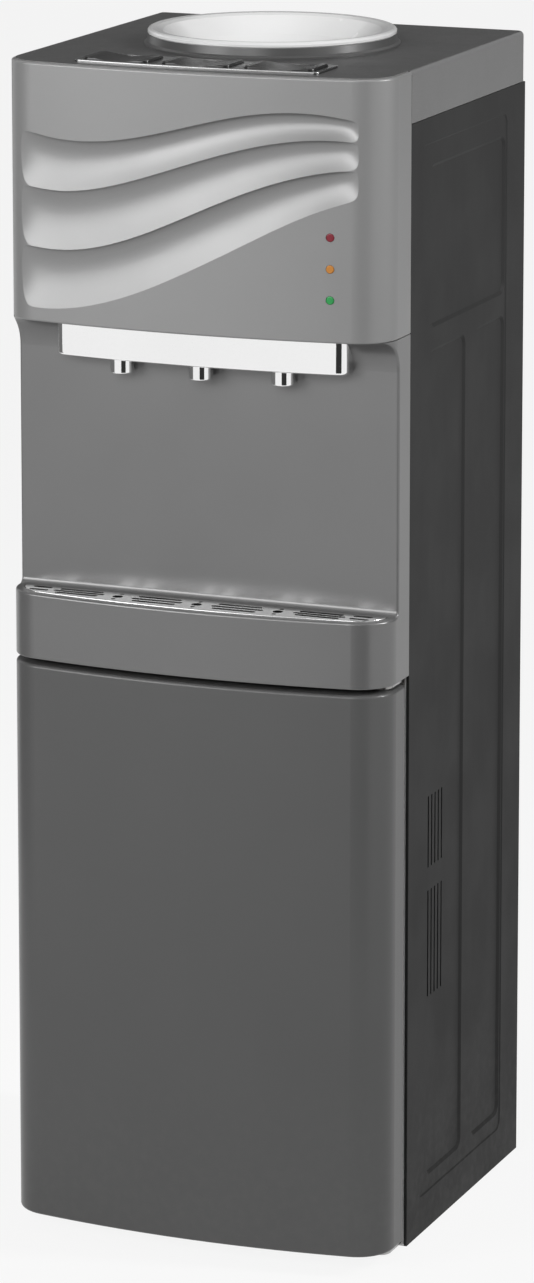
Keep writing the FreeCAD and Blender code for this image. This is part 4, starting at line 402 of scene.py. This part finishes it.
GRILLE_PLATING = Finish("grille_plating", grey(205), 0.17, Relief.BRUSHED, 0.4 * MM, 0.004 * MM,
                        metallic=1.0, mottle=0.02, smudge=0.08, dust=0.04)
BEZEL_PLATING = Finish("bezel_plating", grey(140), 0.24, Relief.PEEL, 3.0 * MM, 0.003 * MM, metallic=1.0,
                       mottle=0.02, dust=0.02)
BUTTON_GLOSS = Finish("button_gloss", grey(30), 0.20, Relief.PEEL, 2.0 * MM, 0.004 * MM, mottle=0.03,
                      smudge=0.09, dust=0.03)
TRAY_MOULDING = Finish("tray_moulding", grey(58), 0.42, Relief.SPARK, 0.6 * MM, 0.012 * MM, dust=0.04)
ZINC_SHEET = Finish("zinc_sheet", grey(172), 0.42, Relief.SPANGLE, 1.6 * MM, 0.006 * MM, metallic=0.85,
                    mottle=0.06, smudge=0.12, dust=0.12)
TANK_STEEL = Finish("tank_steel", grey(190), 0.28, Relief.BRUSHED, 0.5 * MM, 0.006 * MM, metallic=1.0,
                    smudge=0.10, dust=0.03)
SPRING_STEEL = Finish("spring_steel", grey(170), 0.26, Relief.BRUSHED, 0.3 * MM, 0.003 * MM,
                      metallic=1.0, smudge=0.08, patina=grey(110, 0.10))
BLACK_ENAMEL = Finish("black_enamel", grey(34), 0.34, Relief.PEEL, 2.5 * MM, 0.02 * MM, mottle=0.05,
                      smudge=0.12, coat=0.2, dust=0.10)
SHELF_COATING = Finish("shelf_coating", grey(214), 0.34, Relief.PEEL, 1.2 * MM, 0.01 * MM, mottle=0.02)
SOFT_RUBBER = Finish("soft_rubber", grey(38), 0.66, Relief.SPARK, 0.5 * MM, 0.02 * MM, mottle=0.08,
                     dust=0.12)
GASKET_RUBBER = Finish("gasket_rubber", grey(150), 0.55, Relief.SPARK, 0.6 * MM, 0.012 * MM, mottle=0.04,
                       dust=0.06)
INSULATION = Finish("insulation_foam", (0.80, 0.72, 0.50), 0.88, Relief.FOAM, 1.5 * MM, 0.25 * MM,
                    mottle=0.09, patina=(0.66, 0.52, 0.28))
CLEAR_HOSE = Finish("milky_hose", grey(196), 0.34, Relief.PEEL, 1.5 * MM, 0.01 * MM, mottle=0.04,
                    coat=0.2)
COPPER_PIPE = Finish("copper_pipe", (0.80, 0.38, 0.22), 0.30, Relief.BRUSHED, 0.5 * MM, 0.004 * MM,
                     metallic=1.0, mottle=0.12, smudge=0.14, dust=0.06, patina=(0.30, 0.15, 0.09))
PLAIN_BRASS = Finish("plain_brass", (0.74, 0.53, 0.24), 0.30, Relief.BRUSHED, 0.4 * MM, 0.004 * MM,
                     metallic=1.0, mottle=0.10, smudge=0.12, patina=(0.34, 0.22, 0.10))
VALVE_MOULDING = Finish("valve_moulding", grey(206, 0.03), 0.44, Relief.SPARK, 0.6 * MM, 0.01 * MM)
BOARD_RESIN = Finish("board_resin", (0.03, 0.16, 0.07), 0.35, Relief.PEEL, 1.0 * MM, 0.008 * MM,
                     coat=0.3)
RED_LENS = Finish("red_lens", (0.16, 0.012, 0.022), 0.16, Relief.PEEL, 1.0 * MM, 0.003 * MM, dust=0.0)
AMBER_LENS = Finish("amber_lens", (0.42, 0.17, 0.03), 0.16, Relief.PEEL, 1.0 * MM, 0.003 * MM, dust=0.0)
GREEN_LENS = Finish("green_lens", (0.02, 0.24, 0.06), 0.16, Relief.PEEL, 1.0 * MM, 0.003 * MM, dust=0.0)


def dress(finish: Finish, nodes: Iterable[str]) -> None:
    """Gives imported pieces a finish.

    Args:
        finish: The finish.
        nodes: Names of the pieces.
    """
    material = finish.material()
    for name in nodes:
        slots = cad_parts[name].data.materials
        slots.clear()
        slots.append(material)
        LOG.info("%s wears %s", name, finish.name)


# ---- wound wire ----
# Pitch of a closed turn over the thickness of the wire.
CLOSED_PITCH = 1.02


@dataclass
class Winding:
    """Round wire wound on an upright axis, with closed end turns.

    Attributes:
        name: Name of the piece.
        body: The body it rides on.
        node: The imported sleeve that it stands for.
        wire: Radius of the wire.
        turns: Number of open turns.
        end_turns: Number of closed turns at each end.
        finish: Its finish.
        steps: Points along one turn.
        sides: Corners of the wire's section.
    """

    name: str
    body: str
    node: str
    wire: float
    turns: float
    end_turns: float
    finish: Finish
    steps: int = 28
    sides: int = 10

    def centre_line(self) -> list[Vector]:
        """The wire's middle line inside the sleeve's box.

        Returns:
            Its points from the foot up.
        """
        low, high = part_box(self.node)
        middle = (low + high) / 2
        radius = (high.x - low.x) / 2 - self.wire
        closed = 2 * self.wire * CLOSED_PITCH
        span = (high.z - low.z) - 2 * self.wire - 2 * self.end_turns * closed
        total = self.turns + 2 * self.end_turns
        points = []
        for step in range(int(total * self.steps) + 1):
            turn = step / self.steps
            rise = closed * min(turn, self.end_turns)
            rise += span * min(max(turn - self.end_turns, 0.0), self.turns) / self.turns
            rise += closed * max(turn - self.end_turns - self.turns, 0.0)
            angle = 2 * math.pi * turn
            across = middle.x + radius * math.cos(angle)
            along = middle.y + radius * math.sin(angle)
            points.append(Vector((across, along, low.z + self.wire + rise)))
        return points

    def mesh(self) -> bpy.types.Mesh:
        """Sweeps the wire's round section along its middle line.

        Returns:
            The closed mesh.
        """
        points = self.centre_line()
        low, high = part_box(self.node)
        axis = (low + high) / 2
        work = bmesh.new()
        rings = []
        for point in points:
            outward = Vector((point.x - axis.x, point.y - axis.y, 0)).normalized()
            ring = []
            for side in range(self.sides):
                angle = 2 * math.pi * side / self.sides
                offset = outward * math.cos(angle) * self.wire + Vector((0, 0, self.wire * math.sin(angle)))
                ring.append(work.verts.new(point + offset))
            rings.append(ring)
        for first, second in zip(rings, rings[1:]):
            for side in range(self.sides):
                after = (side + 1) % self.sides
                work.faces.new((first[side], second[side], second[after], first[after]))
        work.faces.new(rings[0])
        work.faces.new(list(reversed(rings[-1])))
        bmesh.ops.recalc_face_normals(work, faces=work.faces)
        mesh = bpy.data.meshes.new(self.name)
        work.to_mesh(mesh)
        work.free()
        mesh.polygons.foreach_set("use_smooth", [True] * len(mesh.polygons))
        return mesh

    def build(self, slot: str) -> bpy.types.Object:
        """Makes the piece in place of its sleeve.

        Args:
            slot: Not used.

        Returns:
            The piece.
        """
        piece = bpy.data.objects.new(self.name, self.mesh())
        bpy.context.scene.collection.objects.link(piece)
        piece.data.materials.append(self.finish.material())
        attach(piece, self.body)
        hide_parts(self.node)
        LOG.info("%s has %d faces", self.name, len(piece.data.polygons))
        return piece


# ---- sub-assemblies ----
@dataclass
class Shell:
    """Front mouldings, deck, side panels and back.

    Attributes:
        upper: Finish of the upper front panel.
        niche: Finish of the dispensing panel.
        side: Finish of the side panels.
        deck: Finish of the deck.
    """

    upper: Finish = GRAPHITE_UPPER
    niche: Finish = GRAPHITE_NICHE
    side: Finish = DARK_SIDE
    deck: Finish = DECK_MOULDING

    def build(self) -> None:
        """Dresses the outer pieces."""
        dress(self.upper, ["upper_front_panel"])
        dress(self.niche, ["dispensing_panel"])
        dress(self.side, ["side_panel_left", "side_panel_right"])
        dress(self.deck, ["top_cover"])
        dress(ZINC_SHEET, ["back_panel", "base_plate", "mid_deck", "tank_shelf", "panel_screws"])
        dress(SOFT_RUBBER, ["feet", "compressor_grommets"])
        dress(TRAY_MOULDING, ["switch_plate", "cable_gland", "rocker_heating", "rocker_cooling"])


@dataclass
class Dispenser:
    """Taps, bright bar, buttons with their springs, lamps and drip tray.

    Attributes:
        spring_wire: Radius of the return springs' wire.
        spring_turns: Open turns of a return spring.
        spring_end_turns: Closed turns at each end of it.
        pressed_share: Length of a pressed spring over its length at rest; not used.
        lenses: Finish of each lamp.
    """

    spring_wire: float = 0.6 * MM
    spring_turns: float = 7.0
    spring_end_turns: float = 1.5
    pressed_share: float = 0.875
    lenses: dict[str, Finish] = field(default_factory=lambda: {
        "lamp_heating": RED_LENS, "lamp_cooling": AMBER_LENS, "lamp_power": GREEN_LENS})

    def build_springs(self) -> None:
        """Winds the three return springs."""
        for tap in TAPS:
            node = "button_spring_" + tap
            spring = Winding("wound_spring_" + tap, "case", node, self.spring_wire, self.spring_turns,
                             self.spring_end_turns, SPRING_STEEL)
            piece = spring.build("stainless")
            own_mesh(piece)

    def build(self) -> None:
        """Dresses the dispenser's pieces and winds the springs."""
        dress(BRIGHT_BAR, ["tap_fascia", "tap_spouts"])
        dress(GRILLE_PLATING, ["drip_grille"])
        dress(BEZEL_PLATING, ["button_bezel"])
        dress(BUTTON_GLOSS, ["button_" + tap for tap in TAPS])
        dress(VALVE_MOULDING, ["tap_body_" + tap for tap in TAPS] + ["push_rod_" + tap for tap in TAPS])
        dress(TRAY_MOULDING, ["drip_tray"])
        dress(BOARD_RESIN, ["indicator_board"])
        for node, lens in self.lenses.items():
            dress(lens, [node])
        self.build_springs()


@dataclass
class Seat:
    """White bottle seat in its collar.

    Attributes:
        white: Finish of the seat and its probe.
    """

    white: Finish = SEAT_WHITE

    def build(self) -> None:
        """Dresses the seat, the probe and the collar."""
        dress(self.white, ["bottle_seat", "bottle_probe"])
        dress(COLLAR_MOULDING, ["collar_ring"])


@dataclass
class Cabinet:
    """Storage cabinet with its door, liner and shelf.

    Attributes:
        door: Finish of the door panel.
    """

    door: Finish = GRAPHITE_DOOR

    def build(self) -> None:
        """Dresses the door and the compartment."""
        dress(self.door, ["door_panel"])
        dress(LINER_WHITE, ["cabinet_liner", "door_liner"])
        dress(GASKET_RUBBER, ["door_gasket"])
        dress(VALVE_MOULDING, ["door_bushes"])
        dress(SPRING_STEEL, ["hinge_brackets"])
        dress(SHELF_COATING, ["wire_shelf"])


@dataclass
class WaterCircuit:
    """Tanks, hoses, insulation and the cooling circuit.

    Attributes:
        winding_turns: Open turns of the cooling tube round the cold tank.
        winding_end_turns: Closed turns at each end of it.
        tube: Radius of the cooling tube.
    """

    winding_turns: float = 10.0
    winding_end_turns: float = 0.5
    tube: float = 3.5 * MM

    def build(self) -> None:
        """Dresses the inner pieces and winds the cooling tube."""
        dress(TANK_STEEL, ["cold_tank", "hot_tank", "thermostats"])
        dress(INSULATION, ["cold_tank_foam", "hot_tank_jacket"])
        dress(CLEAR_HOSE, ["water_hoses"])
        dress(PLAIN_BRASS, ["drain_fitting"])
        dress(TRAY_MOULDING, ["drain_cap"])
        dress(COPPER_PIPE, ["refrigerant_lines", "filter_drier"])
        dress(BLACK_ENAMEL, ["compressor", "condenser"])
        winding = Winding("wound_cooling_tube", "case", "evaporator_winding", self.tube, self.winding_turns,
                          self.winding_end_turns, COPPER_PIPE, steps=48, sides=12)
        winding.build("copper")


# ---- studio ----
@dataclass
class SoftBox:
    """A soft rectangular lamp that points at a spot on the cooler.

    Attributes:
        name: Name of the lamp.
        place: Where it hangs.
        target: The spot.
        width: Width of its face.
        height: Height of its face.
        power: Its power in watts.
        spread: Spread of its beam in degrees.
    """

    name: str
    place: Point
    target: Point
    width: float
    height: float
    power: float
    spread: float

    def build(self) -> None:
        """Hangs the lamp."""
        data = bpy.data.lights.new(self.name, "AREA")
        data.shape = "RECTANGLE"
        data.size, data.size_y = self.width, self.height
        data.energy = self.power
        data.spread = math.radians(self.spread)
        lamp = bpy.data.objects.new(self.name, data)
        lamp.location = self.place
        aim = Vector(self.target) - Vector(self.place)
        lamp.rotation_euler = aim.to_track_quat("-Z", "Y").to_euler()
        bpy.context.scene.collection.objects.link(lamp)
        LOG.info("%s hangs at %s", self.name, self.place)


@dataclass
class Flag:
    """A tall dark card, curved round the cooler, that only shows in its reflections.

    Attributes:
        name: Name of the card.
        start: Its first edge, in degrees from straight in front towards the right.
        end: Its other edge.
        low: Height of its foot.
        high: Height of its top.
        shade: How light it is.
        radius: Distance from the cooler's middle.
        steps: Flat strips that make its curve.
    """

    name: str
    start: float
    end: float
    low: float
    high: float
    shade: float = 0.05
    radius: float = 6.0
    steps: int = 16

    def build(self) -> None:
        """Stands the card up."""
        work = bmesh.new()
        columns = []
        for step in range(self.steps + 1):
            angle = math.radians(self.start + (self.end - self.start) * step / self.steps)
            across, along = self.radius * math.sin(angle), -self.radius * math.cos(angle)
            columns.append([work.verts.new((across, along, height)) for height in (self.low, self.high)])
        for first, second in zip(columns, columns[1:]):
            work.faces.new((first[0], second[0], second[1], first[1]))
        mesh = bpy.data.meshes.new(self.name)
        work.to_mesh(mesh)
        work.free()
        card = bpy.data.objects.new(self.name, mesh)
        bpy.context.scene.collection.objects.link(card)
        card.visible_camera = card.visible_diffuse = card.visible_shadow = False
        material = bpy.data.materials.new(self.name)
        tree = MaterialTree(material)
        dark = tree.node("ShaderNodeEmission", {}, {"Color": PLAIN_WHITE, "Strength": self.shade})
        tree.node("ShaderNodeOutputMaterial", {}, {"Surface": dark})
        mesh.materials.append(material)
        LOG.info("%s stands", self.name)


@dataclass
class Studio:
    """Pale floor, white surroundings and soft lamps.

    Attributes:
        floor_radius: Radius of the round floor.
        floor_sides: Corners of its rim.
        floor_gap: How far it lies under the feet.
        floor_white: Share of plain white in the floor as the camera sees it.
        ambient: Strength of the even light from all round.
        lamps: The lamps.
        flags: The dark cards.
    """

    floor_radius: float = 24.0
    floor_sides: int = 96
    floor_gap: float = 0.2 * MM
    floor_white: float = 0.88
    ambient: float = 0.17
    lamps: tuple[SoftBox, ...] = (
        SoftBox("key_left", (-1.6, -2.5, 1.9), (0.0, 0.0, 1.1), 2.8, 2.2, 12.5, 45.0),
        SoftBox("front_fill", (0.3, -2.8, 2.2), (0.0, 0.0, 1.0), 1.4, 1.4, 3.6, 40.0),
        SoftBox("top_soft", (0.2, 0.3, 3.4), (0.0, 0.0, 1.0), 1.6, 1.6, 0.9, 80.0),
        SoftBox("side_strip", (2.6, 0.3, 2.2), (0.0, 0.0, 1.1), 0.3, 1.6, 8.0, 55.0),
    )
    flags: tuple[Flag, ...] = (
        Flag("flag_front", 9.0, 50.0, 0.0, 3.0, 0.03, 1.3),
        Flag("flag_left", -100.0, -52.0, 0.0, 3.0, 0.15, 1.3),
        Flag("flag_back", 125.0, 235.0, 0.0, 4.6, 0.12),
    )

    @staticmethod
    def seen_share(tree: MaterialTree) -> Signal:
        """Tells what is seen from what gives light.

        Args:
            tree: The nodes of the floor or the world.

        Returns:
            1 for rays that the camera, a mirror or glass sends, and 0 for light's own bounces.
        """
        def ray(kind: str) -> Signal:
            """One output of the light path."""
            return tree.node("ShaderNodeLightPath", {}, {}, kind)
        total = ray("Is Camera Ray") + ray("Is Glossy Ray") + ray("Is Transmission Ray")
        return total.between(0.0, 1.0)

    def build_world(self) -> None:
        """Makes the surroundings: white as they are seen, dimmer as they light."""
        world = bpy.data.worlds.new("white_studio")
        bpy.context.scene.world = world
        tree = MaterialTree(world)
        seen = self.seen_share(tree)
        light = seen * (1 - self.ambient) + self.ambient
        background = tree.node("ShaderNodeBackground", {}, {"Color": PLAIN_WHITE, "Strength": light})
        tree.node("ShaderNodeOutputWorld", {}, {"Surface": background})

    def build_floor(self) -> None:
        """Lays the round floor, which keeps the cooler's shadow."""
        work = bmesh.new()
        under = Matrix.Translation((0, 0, -self.floor_gap))
        bmesh.ops.create_circle(work, cap_ends=True, segments=self.floor_sides, radius=self.floor_radius,
                                matrix=under)
        mesh = bpy.data.meshes.new("studio_floor")
        work.to_mesh(mesh)
        work.free()
        floor = bpy.data.objects.new("studio_floor", mesh)
        bpy.context.scene.collection.objects.link(floor)
        material = bpy.data.materials.new("pale_floor")
        tree = MaterialTree(material)
        tone = tree.blend(tree.noise(3.0, 3.0), grey(238), grey(246))
        matt = tree.node("ShaderNodeBsdfDiffuse", {}, {"Color": tone})
        white = tree.node("ShaderNodeEmission", {}, {"Color": PLAIN_WHITE, "Strength": 1.0})
        share = self.seen_share(tree) * self.floor_white
        surface = tree.node("ShaderNodeMixShader", {}, {0: share, 1: matt, 2: white})
        tree.node("ShaderNodeOutputMaterial", {}, {"Surface": surface})
        mesh.materials.append(material)
        LOG.info("floor laid")

    def build(self) -> None:
        """Sets the world, the floor and the lamps."""
        self.build_world()
        self.build_floor()
        for piece in (*self.lamps, *self.flags):
            piece.build()


@dataclass
class Viewpoint:
    """The camera, with the photograph's viewing angle.

    Attributes:
        place: Where the camera stands.
        turn: Its turn to the left of straight ahead, in radians.
        tip: How far it looks down, in radians.
        focal_pixels: Focal length in pixels of the whole picture.
        axis_row: Row of the picture that lies on the lens's axis.
        sensor: Width of the sensor in millimetres.
        reach: Farthest distance that the camera sees.
    """

    place: Point = (1.7469, -4.29925, 1.62687)
    turn: float = 0.38555
    tip: float = 0.18141
    focal_pixels: float = 5572.6
    axis_row: float = 320.0
    sensor: float = 36.0
    reach: float = 100.0

    def build(self) -> None:
        """Makes the camera and gives it to the scene."""
        data = bpy.data.cameras.new("viewpoint")
        data.sensor_width = self.sensor
        data.lens = self.focal_pixels / IMAGE_HEIGHT * self.sensor
        data.shift_y = (self.axis_row - IMAGE_HEIGHT / 2) / IMAGE_HEIGHT
        data.clip_end = self.reach
        camera = bpy.data.objects.new("viewpoint", data)
        level = math.cos(self.tip)
        ahead = Vector((-math.sin(self.turn) * level, math.cos(self.turn) * level, -math.sin(self.tip)))
        camera.location = self.place
        camera.rotation_euler = ahead.to_track_quat("-Z", "Y").to_euler()
        bpy.context.scene.collection.objects.link(camera)
        bpy.context.scene.camera = camera
        LOG.info("camera set")


def write_size() -> None:
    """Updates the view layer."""
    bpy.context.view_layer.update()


def main() -> None:
    """Builds the cooler's looks and the studio."""
    logging.basicConfig(level=logging.INFO, format="%(name)s %(message)s")
    bpy.context.scene.view_settings.view_transform = "Standard"
    for part in (Shell(), Dispenser(), Seat(), Cabinet(), WaterCircuit(), Studio(), Viewpoint()):
        part.build()
        LOG.info("%s built", type(part).__name__)
    write_size()


if __name__ == "__main__":
    main()
